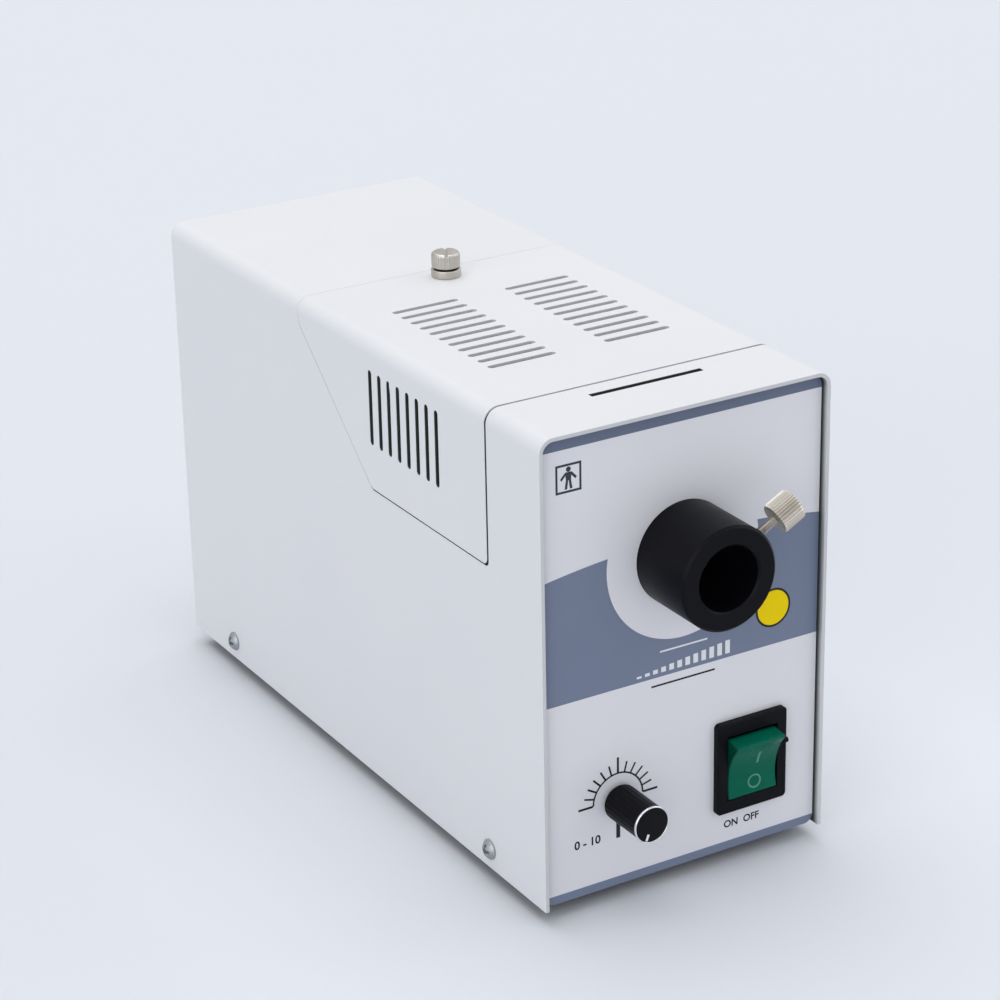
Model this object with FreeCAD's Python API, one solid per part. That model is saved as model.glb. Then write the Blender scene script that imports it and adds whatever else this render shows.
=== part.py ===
import FreeCAD
import Part
import math
import os

# Fiber optic illuminator: a halogen light source in a folded sheet-metal case. A black port on the
# front takes the ferrule of a light guide, a knob dims the lamp, and a lift-off cover gives access to it.
#
# Everything is drawn in the case's own coordinates, in millimetres: x = 0 is the middle of the case,
# y = 0 is the front rim of the housing with +y towards the rear, and z = 0 is the housing's bottom edge.
# save() moves each piece to the part's frame: +Z up, origin at the middle of the footprint, on the floor.

Vector = FreeCAD.Vector

# Case
CASE_WIDTH = 100.0
CASE_LENGTH = 238.0
CASE_HEIGHT = 150.0
HOUSING_SHEET = 1.2
COVER_SHEET = 1.0
FOLD_RADIUS = 4.6
FOOT_DROP = 5.0
HALF_WIDTH = CASE_WIDTH / 2
INNER_HALF = HALF_WIDTH - HOUSING_SHEET

# Lamp cover, seen from the side: it ends in a slanted edge at the rear
COVER_FRONT = 29.0
COVER_REAR = 145.5
COVER_BOTTOM = 100.9
SLANT_START = 99.28
SLANT_TOP = 142.5
SLANT_ROUNDING = 9.0
NO_GAPS = (0, 0, 0, 0)
SEAM_GAPS = (0.95, 0.45, 0.25, 0.15)

# Vent slots in the lamp cover
VENT_WIDTH = 2.2
VENT_FIRST = 57.9
VENT_PITCH = 5.77
TOP_VENTS = 11
TOP_VENT_LENGTH = 23.2
TOP_VENT_OFFSET = 20.3
SIDE_VENTS = 8
SIDE_VENT_LOW = 116.0
SIDE_VENT_HIGH = 140.4

# Filter slot in the housing's front strip
FILTER_SLOT_Y = 21.9
FILTER_SLOT_LENGTH = 38.7
FILTER_SLOT_WIDTH = 2.2

# Panels and base
PANEL_RECESS = 2.5
REAR_RECESS = 3.75
OVERLAY_FILM = 0.3
PANEL_SHEET = 1.5
PANEL_FRONT = PANEL_RECESS + OVERLAY_FILM
PANEL_BACK = PANEL_FRONT + PANEL_SHEET
PANEL_HALF = 48.6
PANEL_BOTTOM = 0.2
PANEL_TOP = 148.4
PANEL_CORNER = 3.0
REAR_FACE = CASE_LENGTH - REAR_RECESS
REAR_BACK = REAR_FACE - PANEL_SHEET
FLOOR_SHEET = 1.2
FLOOR_TOP = PANEL_BOTTOM + FLOOR_SHEET
FLANGE_TOP = 14.0

# Light port and its clamp screw
PORT_Z = 103.6
PORT_RADIUS = 16.3
PORT_REACH = 21.1
PORT_BEVEL = 0.8
BORE_RADIUS = 10.15
BORE_END = 9.0
APERTURE_RADIUS = 8.0
NECK_RADIUS = 13.0
NECK_END = 14.0
CLAMP_Y = -13.6
CLAMP_ANGLE = 62.0
CLAMP_SHANK = 1.5
CLAMP_HEAD_START = 23.4
CLAMP_HEAD_LENGTH = 8.0
CLAMP_HEAD_RADIUS = 5.0
CLAMP_TIP_START = 10.4
CLAMP_SHANK_START = 12.2

# Controls
KNOB_X = -23.1
SWITCH_X = 24.0
CONTROL_Z = 28.95
KNOB_RADIUS = 5.95
KNOB_FACE = -16.0
KNOB_BASE = 1.5
SHAFT_RADIUS = 3.0
BEZEL_WIDTH = 25.4
BEZEL_HEIGHT = 30.5
BEZEL_FRONT = 0.2
WINDOW_WIDTH = 18.4
WINDOW_HEIGHT = 21.6
ROCKER_WIDTH = 17.8
ROCKER_PIVOT_Y = 2.0
ROCKER_PIVOT_RADIUS = 1.2
ROCKER_TILT = 13.5

# Thumb screw of the lamp cover
THUMB_Y = 138.0
THUMB_RADIUS = 4.6
COLLAR_RADIUS = 4.8
COLLAR_HEIGHT = 2.6
THUMB_HEIGHT = 8.0
THUMB_NECK = 1.4
WASHER_THICKNESS = 0.5
THREAD_M4 = 2.0

# Fan and mains inlet on the rear panel
FAN_Z = 98.0
FAN_SIZE = 80.0
FAN_DEPTH = 25.0
FAN_THROAT = 37.8
FAN_HOLE_SPACING = 71.5
INLET_Z = 29.0
INLET_SCREW_SPACING = 40.0
DRAWER_Z = 43.0

RUNNING_FIT = 0.05


# ---------------------------------------------------------------- helpers

def save(node, *solids):
    """Writes one sub-part, moved from the case's coordinates to the part's frame."""
    shape = solids[0] if len(solids) == 1 else Part.makeCompound(list(solids))
    shape = shape.copy()
    middle_y = (CASE_LENGTH - PORT_REACH) / 2
    shape.translate(Vector(0, -middle_y, FOOT_DROP))
    shape.exportStep(os.path.join("parts", node + ".step"))


def block(x0, x1, y0, y1, z0, z1):
    return Part.makeBox(x1 - x0, y1 - y0, z1 - z0, Vector(x0, y0, z0))


def rod_x(y, z, radius, x0, x1):
    return Part.makeCylinder(radius, x1 - x0, Vector(x0, y, z), Vector(1, 0, 0))


def rod_y(x, z, radius, y0, y1):
    return Part.makeCylinder(radius, y1 - y0, Vector(x, y0, z), Vector(0, 1, 0))


def rod_z(x, y, radius, z0, z1):
    return Part.makeCylinder(radius, z1 - z0, Vector(x, y, z0), Vector(0, 0, 1))


def joined(first, *others):
    return first.fuse(list(others)).removeSplitter()


def rounded_wire(points, radii):
    """Closed wire through the points, with corner i rounded to radii[i], or sharp where that is 0."""
    corners = []
    count = len(points)
    for i in range(count):
        here = points[i]
        back = (points[i - 1] - here).normalize()
        ahead = (points[(i + 1) % count] - here).normalize()
        half_angle = back.getAngle(ahead) / 2
        reach = radii[i] / math.tan(half_angle)
        inward = (back + ahead).normalize() * (radii[i] / math.sin(half_angle) - radii[i])
        corners.append((here + back * reach, here + inward, here + ahead * reach))
    edges = []
    for i in range(count):
        start, middle, end = corners[i]
        if radii[i] > 0:
            edges.append(Part.Arc(start, middle, end).toShape())
        edges.append(Part.LineSegment(end, corners[(i + 1) % count][0]).toShape())
    return Part.Wire(edges)


def slab(points, radii, along):
    """Solid whose outline is the rounded polygon, extruded by the vector along."""
    return Part.Face(rounded_wire(points, radii)).extrude(along)


def slab_x(outline, radii, x0, x1):
    return slab([Vector(x0, y, z) for y, z in outline], radii, Vector(x1 - x0, 0, 0))


def slab_y(outline, radii, y0, y1):
    return slab([Vector(x, y0, z) for x, z in outline], radii, Vector(0, y1 - y0, 0))


def slab_z(outline, radii, z0, z1):
    return slab([Vector(x, y, z0) for x, y in outline], radii, Vector(0, 0, z1 - z0))


def rectangle(u0, u1, v0, v1):
    return [(u0, v0), (u1, v0), (u1, v1), (u0, v1)]


def slot_along_x(x, y, length, width, z0, z1):
    """Round-ended slot that runs along x and goes down through a top sheet."""
    outline = rectangle(x - length / 2, x + length / 2, y - width / 2, y + width / 2)
    return slab_z(outline, [width * 0.499] * 4, z0, z1)


def slot_along_z(y, z_low, z_high, width, x0, x1):
    """Round-ended slot that runs along z and goes across through the side sheets."""
    outline = rectangle(y - width / 2, y + width / 2, z_low, z_high)
    return slab_x(outline, [width * 0.499] * 4, x0, x1)


def turned(profile, base, axis):
    """Solid of revolution: profile is (distance along axis, radius) pairs, from one end to the other."""
    axis = Vector(axis).normalize()
    side = axis.cross(Vector(0, 1, 0))
    if side.Length < 0.1:
        side = axis.cross(Vector(1, 0, 0))
    side.normalize()
    points = [base + axis * along + side * radius for along, radius in profile]
    points = [base + axis * profile[0][0]] + points + [base + axis * profile[-1][0]]
    wire = Part.makePolygon(points + [points[0]])
    return Part.Face(wire).revolve(base, axis, 360)


def star_prism(base, axis, corner_radii, length):
    """Prism along axis whose corners lie at the given radii, evenly spaced round it."""
    axis = Vector(axis).normalize()
    side = axis.cross(Vector(0, 1, 0))
    if side.Length < 0.1:
        side = axis.cross(Vector(1, 0, 0))
    side.normalize()
    other = axis.cross(side)
    points = []
    for i, radius in enumerate(corner_radii):
        angle = 2 * math.pi * i / len(corner_radii)
        points.append(base + side * (radius * math.cos(angle)) + other * (radius * math.sin(angle)))
    return Part.Face(Part.makePolygon(points + [points[0]])).extrude(axis * length)


def toothed(base, axis, root, tip, teeth, length):
    """Knurled or fluted prism with straight-sided teeth."""
    return star_prism(base, axis, [tip, root] * teeth, length)


def hexagon(base, axis, across_flats, length):
    return star_prism(base, axis, [across_flats / math.sqrt(3)] * 6, length)


def pan_screw(base, outward, head_radius, head_height, shank_radius, shank_length):
    """Cross-head screw: domed head outside base, shank going in, with a cross recess in the head."""
    outward = Vector(outward).normalize()
    crown = 0.35 * head_height
    profile = [(-shank_length, shank_radius), (0, shank_radius), (0, head_radius),
               (head_height - crown, head_radius * 0.94), (head_height, head_radius * 0.6)]
    screw = turned(profile, base, outward)
    slot_half = head_radius * 0.55
    slot_width = head_radius * 0.22
    top = base + outward * head_height
    recess = star_prism(top - outward * (0.45 * head_height), outward,
                        [slot_half, slot_width] * 4, head_height)
    return screw.cut(recess)


# ---------------------------------------------------------------- case

def arch(half_width, top, radius, bottom, y0, y1):
    """Solid block with the case's front outline: flat sides, flat top, rounded upper edges."""
    outline = rectangle(-half_width, half_width, bottom, top)
    return slab_y(outline, [0, 0, radius, radius], y0, y1)


def cover_outline(gaps):
    """Side view (y, z) of the lamp cover's edge, open above the top.

    gaps says how far its front, bottom, slanted and rear edges are moved inwards."""
    at_front, at_bottom, at_slant, at_rear = gaps
    above = CASE_HEIGHT + 1
    slope = (SLANT_TOP - COVER_BOTTOM) / (COVER_REAR - SLANT_START)
    lift = at_slant * math.sqrt(1 + slope ** 2)
    front = COVER_FRONT + at_front
    bottom = COVER_BOTTOM + at_bottom
    rear = COVER_REAR - at_rear
    slant_start = SLANT_START + (at_bottom - lift) / slope
    slant_top = COVER_BOTTOM + lift + slope * (rear - SLANT_START)
    return [(front, bottom), (slant_start, bottom), (rear, slant_top), (rear, above), (front, above)]


def cover_prism(gaps):
    rounding = [2.0, 3.0, SLANT_ROUNDING, 0, 0]
    return slab_x(cover_outline(gaps), rounding, -HALF_WIDTH - 1, HALF_WIDTH + 1)


def housing():
    """Inverted-U shell, cut out for the lamp cover, with the filter slot and the side screw holes."""
    shell = arch(HALF_WIDTH, CASE_HEIGHT, FOLD_RADIUS, 0, 0, CASE_LENGTH)
    inside = arch(INNER_HALF, CASE_HEIGHT - HOUSING_SHEET, FOLD_RADIUS - HOUSING_SHEET,
                  -1, -1, CASE_LENGTH + 1)
    slot = block(-FILTER_SLOT_LENGTH / 2, FILTER_SLOT_LENGTH / 2,
                 FILTER_SLOT_Y - FILTER_SLOT_WIDTH / 2, FILTER_SLOT_Y + FILTER_SLOT_WIDTH / 2,
                 CASE_HEIGHT - 2 * HOUSING_SHEET, CASE_HEIGHT + 1)
    holes = [rod_x(y, z, 1.6, -HALF_WIDTH - 1, HALF_WIDTH + 1) for y, z in side_screw_places()]
    return shell.cut([inside, cover_prism(NO_GAPS), slot] + holes)


def side_screw_places():
    from_end = 32.0
    height = 6.5
    return [(from_end, height), (CASE_LENGTH - from_end, height)]


def side_screws():
    screws = []
    for y, z in side_screw_places():
        for side in (-1, 1):
            base = Vector(side * HALF_WIDTH, y, z)
            screws.append(pan_screw(base, (side, 0, 0), 3.25, 2.2, 1.5, 5.0))
    return screws


def vent_rows(count):
    return [VENT_FIRST + VENT_PITCH * i for i in range(count)]


def lamp_cover():
    """Top plate with two side flaps, folded from one sheet, with the vent slots."""
    shell = arch(HALF_WIDTH, CASE_HEIGHT, FOLD_RADIUS, COVER_BOTTOM - 1, 0, CASE_LENGTH)
    inside = arch(HALF_WIDTH - COVER_SHEET, CASE_HEIGHT - COVER_SHEET, FOLD_RADIUS - COVER_SHEET,
                  0, -1, CASE_LENGTH + 1)
    cover = shell.cut(inside).common(cover_prism(SEAM_GAPS))
    cuts = [rod_z(0, THUMB_Y, 3.0, COVER_BOTTOM, CASE_HEIGHT + 1)]
    for y in vent_rows(TOP_VENTS):
        for side in (-1, 1):
            cuts.append(slot_along_x(side * TOP_VENT_OFFSET, y, TOP_VENT_LENGTH, VENT_WIDTH,
                                     CASE_HEIGHT - 3, CASE_HEIGHT + 1))
    for y in vent_rows(SIDE_VENTS):
        cuts.append(slot_along_z(y, SIDE_VENT_LOW, SIDE_VENT_HIGH, VENT_WIDTH,
                                 -HALF_WIDTH - 1, HALF_WIDTH + 1))
    return cover.cut(cuts)


def ledge(y0, y1):
    """Strip under the housing's top sheet on which an end of the lamp cover lies."""
    top = CASE_HEIGHT - HOUSING_SHEET
    return block(-42, 42, y0, y1, top - HOUSING_SHEET, top)


def cover_ledges():
    """Four strips welded into the housing: front and rear ledges, and one behind each flap's edge."""
    front = ledge(25.5, 34.0)
    rear = ledge(133.0, 151.0).cut(rod_z(0, THUMB_Y, THREAD_M4 + 0.3, CASE_HEIGHT - 5, CASE_HEIGHT))
    inner = INNER_HALF - HOUSING_SHEET
    sides = [block(min(s * inner, s * INNER_HALF), max(s * inner, s * INNER_HALF),
                   36, 96, COVER_BOTTOM - 7, COVER_BOTTOM + 5) for s in (-1, 1)]
    return [front, rear] + sides


def cover_nut():
    """Welded nut under the rear ledge that the cover's thumb screw goes into."""
    top = CASE_HEIGHT - 2 * HOUSING_SHEET
    depth = 3.2
    nut = hexagon(Vector(0, THUMB_Y, top - depth), (0, 0, 1), 7.0, depth)
    return nut.cut(rod_z(0, THUMB_Y, THREAD_M4 + RUNNING_FIT, top - 5, top + 1))


def base_tray():
    """Floor with upturned side flanges; the housing, panels and feet are screwed to it."""
    y0, y1 = PANEL_BACK, REAR_BACK
    floor = block(-PANEL_HALF, PANEL_HALF, y0, y1, PANEL_BOTTOM, FLOOR_TOP)
    flange = PANEL_HALF - FLOOR_SHEET
    sides = [block(-PANEL_HALF, -flange, y0, y1, PANEL_BOTTOM, FLANGE_TOP),
             block(flange, PANEL_HALF, y0, y1, PANEL_BOTTOM, FLANGE_TOP)]
    holes = [rod_x(y, z, 1.6, -HALF_WIDTH, HALF_WIDTH) for y, z in side_screw_places()]
    holes += [rod_z(x, y, 1.6, PANEL_BOTTOM - 1, FLOOR_TOP + 1) for x, y in foot_places()]
    return joined(floor, *sides).cut(holes)


def foot_places():
    inset_x, inset_y = 34.0, 24.0
    return [(sx * inset_x, y) for y in (inset_y, CASE_LENGTH - inset_y) for sx in (-1, 1)]


def rubber_feet():
    feet = []
    for x, y in foot_places():
        drop = FOOT_DROP + PANEL_BOTTOM
        body = turned([(0, 8.0), (drop - 0.8, 7.2), (drop, 6.4)], Vector(x, y, PANEL_BOTTOM), (0, 0, -1))
        bore = rod_z(x, y, 1.6, -FOOT_DROP - 1, PANEL_BOTTOM + 1)
        recess = rod_z(x, y, 3.4, -FOOT_DROP - 1, -FOOT_DROP + 2.6)
        feet.append(body.cut([bore, recess]))
    return feet


def foot_screws():
    screws = []
    for x, y in foot_places():
        head_top = -FOOT_DROP + 2.6
        screws.append(turned([(0, 3.0), (-1.8, 3.0), (-1.8, 1.5), (-7.5, 1.5)],
                             Vector(x, y, head_top - 1.8), (0, 0, -1)))
    return screws


# ---------------------------------------------------------------- front panel

def panel_plate(y0, y1, half, bottom, top):
    return slab_y(rectangle(-half, half, bottom, top), [PANEL_CORNER] * 4, y0, y1)


def panel_holes(play, y0, y1):
    """Openings for the port's neck, the knob's shaft and the switch body."""
    half_x = 11.5 + play
    half_z = 14.1 + play
    return [rod_y(0, PORT_Z, NECK_RADIUS + play, y0, y1),
            rod_y(KNOB_X, CONTROL_Z, SHAFT_RADIUS + 0.3 + play, y0, y1),
            block(SWITCH_X - half_x, SWITCH_X + half_x, y0, y1,
                  CONTROL_Z - half_z, CONTROL_Z + half_z)]


def front_panel():
    plate = panel_plate(PANEL_FRONT, PANEL_BACK, PANEL_HALF, PANEL_BOTTOM, PANEL_TOP)
    foot = block(-40, 40, PANEL_BACK, PANEL_BACK + 9, FLOOR_TOP, FLOOR_TOP + PANEL_SHEET)
    return joined(plate, foot).cut(panel_holes(0.1, PANEL_FRONT - 1, PANEL_BACK + 1))


def front_overlay():
    """Printed film on the front panel."""
    film = panel_plate(PANEL_RECESS, PANEL_FRONT, PANEL_HALF - 0.1, PANEL_BOTTOM, PANEL_TOP - 0.2)
    return film.cut(panel_holes(0.2, PANEL_RECESS - 1, PANEL_FRONT + 1))


def light_port():
    """Black nose: bore for the light guide's ferrule, inner stop, and threaded neck through the panel."""
    profile = [(0, PORT_RADIUS - PORT_BEVEL), (PORT_BEVEL, PORT_RADIUS), (PORT_REACH + PANEL_RECESS, PORT_RADIUS),
               (PORT_REACH + PANEL_RECESS, NECK_RADIUS), (PORT_REACH + NECK_END, NECK_RADIUS)]
    body = turned(profile, Vector(0, -PORT_REACH, PORT_Z), (0, 1, 0))
    bore = rod_y(0, PORT_Z, BORE_RADIUS, -PORT_REACH - 1, BORE_END)
    lead_in = turned([(-1, BORE_RADIUS + 1.6), (0.6, BORE_RADIUS)],
                     Vector(0, -PORT_REACH, PORT_Z), (0, 1, 0))
    aperture = rod_y(0, PORT_Z, APERTURE_RADIUS, 0, NECK_END + 1)
    screw_hole = clamp_rod(CLAMP_SHANK + 0.07, BORE_RADIUS - 2, PORT_RADIUS + 1)
    return body.cut([bore, lead_in, aperture, screw_hole])


def port_nut():
    """Slotted ring nut that holds the light port from inside the panel."""
    thickness = 5.0
    ring = rod_y(0, PORT_Z, 17.0, PANEL_BACK, PANEL_BACK + thickness)
    hole = rod_y(0, PORT_Z, NECK_RADIUS, PANEL_BACK - 1, PANEL_BACK + thickness + 1)
    slots = [block(-18, 18, PANEL_BACK + 3, PANEL_BACK + thickness + 1, PORT_Z - 1.5, PORT_Z + 1.5),
             block(-1.5, 1.5, PANEL_BACK + 3, PANEL_BACK + thickness + 1, PORT_Z - 18, PORT_Z + 18)]
    return ring.cut([hole] + slots)


def clamp_axis():
    angle = math.radians(CLAMP_ANGLE)
    return Vector(math.sin(angle), 0, math.cos(angle))


def clamp_rod(radius, start, end):
    """Rod along the clamp screw's axis between two distances from the middle of the port."""
    axis = clamp_axis()
    base = Vector(0, CLAMP_Y, PORT_Z) + axis * start
    return Part.makeCylinder(radius, end - start, base, axis)


def clamp_screw():
    """Screw with a knurled head that holds the light guide in the port."""
    axis = clamp_axis()
    centre = Vector(0, CLAMP_Y, PORT_Z)
    end = CLAMP_HEAD_START + CLAMP_HEAD_LENGTH
    bevel = 0.5
    knurl = toothed(centre + axis * CLAMP_HEAD_START, axis, CLAMP_HEAD_RADIUS - 0.3,
                    CLAMP_HEAD_RADIUS, 32, CLAMP_HEAD_LENGTH)
    blank = turned([(CLAMP_HEAD_START, CLAMP_HEAD_RADIUS - bevel),
                    (CLAMP_HEAD_START + bevel, CLAMP_HEAD_RADIUS + 0.1),
                    (end - bevel, CLAMP_HEAD_RADIUS + 0.1), (end, CLAMP_HEAD_RADIUS - 2 * bevel)],
                   centre, axis)
    shank = clamp_rod(CLAMP_SHANK, CLAMP_SHANK_START, CLAMP_HEAD_START + 1)
    return joined(knurl.common(blank), shank)


def clamp_tip():
    """Nylon pad at the clamp screw's inner end, which presses on the ferrule without turning."""
    return clamp_rod(CLAMP_SHANK - 0.1, CLAMP_TIP_START, CLAMP_SHANK_START)


# ---------------------------------------------------------------- brightness control

def control_rod(radius, y0, y1):
    return rod_y(KNOB_X, CONTROL_Z, radius, y0, y1)


def knob_axis_point(y):
    return Vector(KNOB_X, y, CONTROL_Z)


def brightness_knob():
    """Fluted knob, hollow for its insert, with a shallow seat for the chrome ring at its face."""
    seat = KNOB_FACE + 1.8
    body_radius = KNOB_RADIUS - 0.25
    flutes = toothed(knob_axis_point(seat), (0, 1, 0), body_radius - 0.45, body_radius, 24,
                     KNOB_BASE - seat)
    taper = turned([(0, body_radius + 0.1), (KNOB_BASE - seat - 0.6, body_radius + 0.1),
                    (KNOB_BASE - seat, body_radius - 0.5)], knob_axis_point(seat), (0, 1, 0))
    face = control_rod(KNOB_RADIUS - 0.6, KNOB_FACE + 0.3, seat)
    hollow = control_rod(3.9, KNOB_FACE + 3.5, KNOB_BASE + 1)
    pointer_seat = knob_pointer()
    return joined(flutes.common(taper), face).cut([hollow, pointer_seat])


def knob_ring():
    """Chrome ring round the knob's face."""
    profile = [(0, KNOB_RADIUS - 0.25), (0.25, KNOB_RADIUS), (1.8, KNOB_RADIUS)]
    ring = turned(profile, knob_axis_point(KNOB_FACE), (0, 1, 0))
    return ring.cut(control_rod(KNOB_RADIUS - 0.6, KNOB_FACE - 1, KNOB_FACE + 3))


def knob_pointer():
    """White inlay on the knob's face, near its edge; it starts 20 degrees past the lowest point."""
    start_angle = 20.0
    outer = KNOB_RADIUS - 0.6
    inlay = block(KNOB_X - 0.4, KNOB_X + 0.4, KNOB_FACE + 0.3, KNOB_FACE + 0.9,
                  CONTROL_Z - outer + 0.05, CONTROL_Z - outer + 2.2)
    inlay.rotate(knob_axis_point(0), Vector(0, 1, 0), start_angle)
    return inlay


def knob_insert():
    """Brass collet in the knob that grips the shaft."""
    outer = control_rod(3.9, KNOB_FACE + 3.5, KNOB_BASE - 0.5)
    return outer.cut(control_rod(SHAFT_RADIUS, KNOB_FACE + 5.5, KNOB_BASE + 1))


def control_shaft():
    return control_rod(SHAFT_RADIUS, KNOB_FACE + 5.5, 17.0)


def control_body():
    """Potentiometer: round can behind its bracket, threaded bush in front, three tags below."""
    can = control_rod(8.2, 11.2, 20.0)
    bush = control_rod(3.6, 6.6, 11.2)
    tags = [block(KNOB_X + dx - 0.9, KNOB_X + dx + 0.9, 14.0, 14.8, CONTROL_Z - 13, CONTROL_Z - 6)
            for dx in (-5, 0, 5)]
    return joined(can, bush, *tags).cut(control_rod(SHAFT_RADIUS + RUNNING_FIT, 0, 17.4))


def control_nut():
    nut = hexagon(knob_axis_point(7.8), (0, 1, 0), 10.0, 2.2)
    return nut.cut(control_rod(3.6, 7, 11))


def control_bracket():
    """Angle screwed to the front panel's foot; it carries the potentiometer behind the panel."""
    half = 8.6
    sole_z = FLOOR_TOP + PANEL_SHEET
    upright = block(KNOB_X - half, KNOB_X + half, 10.0, 11.2, sole_z, CONTROL_Z + 10)
    sole = block(KNOB_X - half, KNOB_X + half, PANEL_BACK + 1, 11.2, sole_z, sole_z + 1.2)
    return joined(upright, sole).cut(control_rod(3.7, 9, 12))


# ---------------------------------------------------------------- switch

def switch_body():
    """Bezel and body of the rocker switch, with the window that the rocker moves in."""
    half_x, half_z = BEZEL_WIDTH / 2, BEZEL_HEIGHT / 2
    bezel = slab_y(rectangle(SWITCH_X - half_x, SWITCH_X + half_x,
                             CONTROL_Z - half_z, CONTROL_Z + half_z), [1.4] * 4, BEZEL_FRONT, PANEL_RECESS)
    bezel = bezel.makeChamfer(0.45, [e for e in bezel.Edges
                                     if abs(e.BoundBox.YMax - BEZEL_FRONT) < 1e-3])
    body = block(SWITCH_X - 11.3, SWITCH_X + 11.3, PANEL_RECESS, 27.0, CONTROL_Z - 13.9, CONTROL_Z + 13.9)
    lug = rod_x(PANEL_RECESS - 1.0, CONTROL_Z + 3.4, 0.9, SWITCH_X + half_x - 1, SWITCH_X + half_x + 0.9)
    window = block(SWITCH_X - WINDOW_WIDTH / 2, SWITCH_X + WINDOW_WIDTH / 2, BEZEL_FRONT - 5, 17.0,
                   CONTROL_Z - WINDOW_HEIGHT / 2, CONTROL_Z + WINDOW_HEIGHT / 2)
    pivot = rod_x(ROCKER_PIVOT_Y, CONTROL_Z, ROCKER_PIVOT_RADIUS + RUNNING_FIT,
                  SWITCH_X - 10.4, SWITCH_X + 10.4)
    return joined(bezel, body, lug).cut([window, pivot])


def rocker():
    """Rocker with a dished face, drawn level and then tilted to OFF: upper end out, lower end in."""
    ridge_y, ridge_z = -2.5, 9.6
    dish_y = -0.1
    lip_y, lip_z = -1.0, 10.0
    back_y, back_z = 4.0, 9.4
    depth_y = 8.25
    x0 = SWITCH_X - ROCKER_WIDTH / 2
    dish = Part.Arc(Vector(x0, ridge_y, ridge_z), Vector(x0, dish_y, 0), Vector(x0, ridge_y, -ridge_z))
    rest = [(ridge_y, -ridge_z), (lip_y, -lip_z), (back_y, -back_z), (depth_y, -4.0),
            (depth_y, 4.0), (back_y, back_z), (lip_y, lip_z), (ridge_y, ridge_z)]
    points = [Vector(x0, y, z) for y, z in rest]
    edges = [dish.toShape()] + [Part.LineSegment(a, b).toShape() for a, b in zip(points, points[1:])]
    body = Part.Face(Part.Wire(edges)).extrude(Vector(ROCKER_WIDTH, 0, 0))
    body.translate(Vector(0, 0, CONTROL_Z))
    body.rotate(Vector(SWITCH_X, ROCKER_PIVOT_Y, CONTROL_Z), Vector(1, 0, 0), ROCKER_TILT)
    pivot = rod_x(ROCKER_PIVOT_Y, CONTROL_Z, ROCKER_PIVOT_RADIUS, SWITCH_X - 10.2, SWITCH_X + 10.2)
    return joined(body, pivot)


def switch_terminals():
    return [block(SWITCH_X + dx - 3.1, SWITCH_X + dx + 3.1, 27.0, 35.0,
                  CONTROL_Z + dz - 0.4, CONTROL_Z + dz + 0.4) for dx in (-5, 5) for dz in (-9, 0)]


# ---------------------------------------------------------------- lamp chamber

BRIDGE_TOP = 70.0
BRIDGE_FRONT = 12.0
BRIDGE_REAR = 118.0
BRIDGE_HALF = 46.4
FILTER_FRONT = FILTER_SLOT_Y - 2.6
FILTER_REAR = FILTER_SLOT_Y + 2.6
GLASS_RADIUS = 18.0
GLASS_FRONT = FILTER_REAR + 0.8
LAMP_FACE = 34.0


def lamp_bridge():
    """Folded inverted U that carries the lamp above the electronics."""
    sheet = HOUSING_SHEET
    top = block(-BRIDGE_HALF, BRIDGE_HALF, BRIDGE_FRONT, BRIDGE_REAR, BRIDGE_TOP - sheet, BRIDGE_TOP)
    legs = [block(-BRIDGE_HALF, -BRIDGE_HALF + sheet, BRIDGE_FRONT + 30, BRIDGE_REAR, FLOOR_TOP, BRIDGE_TOP),
            block(BRIDGE_HALF - sheet, BRIDGE_HALF, BRIDGE_FRONT + 30, BRIDGE_REAR, FLOOR_TOP, BRIDGE_TOP)]
    vents = [slot_along_x(side * 24, y, 24, 4.0, BRIDGE_TOP - 3, BRIDGE_TOP + 1)
             for side in (-1, 1) for y in (92, 100, 108)]
    return joined(top, *legs).cut(vents)


def filter_holder():
    """Pocket under the filter slot: two walls with round windows, closed at the sides and bottom."""
    half, top, sheet = 22.0, 146.0, 1.0
    outer = block(-half, half, FILTER_FRONT, FILTER_REAR, BRIDGE_TOP, top)
    pocket = block(-half + sheet, half - sheet, FILTER_FRONT + sheet, FILTER_REAR - sheet,
                   PORT_Z - half + sheet, top + 1)
    window = rod_y(0, PORT_Z, 16.0, FILTER_FRONT - 1, FILTER_REAR + 1)
    return outer.cut([pocket, window])


def heat_glass():
    """Heat-absorbing glass disc on the lamp's side of the filter pocket."""
    return rod_y(0, PORT_Z, GLASS_RADIUS, GLASS_FRONT, GLASS_FRONT + 3.0)


def glass_clips():
    """Spring clips that hold the heat glass."""
    clips = []
    for x0, x1 in ((-20.0, -17.0), (17.0, 20.0)):
        foot = block(x0, x1, FILTER_REAR, GLASS_FRONT + 4.2, PORT_Z - 3, PORT_Z + 3)
        clips.append(foot.cut(rod_y(0, PORT_Z, GLASS_RADIUS, GLASS_FRONT, GLASS_FRONT + 3.0)))
    return clips


def lamp_bracket():
    """Upright plate with a round seat for the lamp's rim, on a foot screwed to the bridge."""
    plate = slab_y(rectangle(-31, 31, BRIDGE_TOP, 136), [0, 0, 8, 8], LAMP_FACE + 3, LAMP_FACE + 4.5)
    foot = block(-31, 31, LAMP_FACE + 4.5, LAMP_FACE + 16, BRIDGE_TOP, BRIDGE_TOP + 1.5)
    return joined(plate, foot).cut(rod_y(0, PORT_Z, 23.2, LAMP_FACE, LAMP_FACE + 6))


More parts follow.
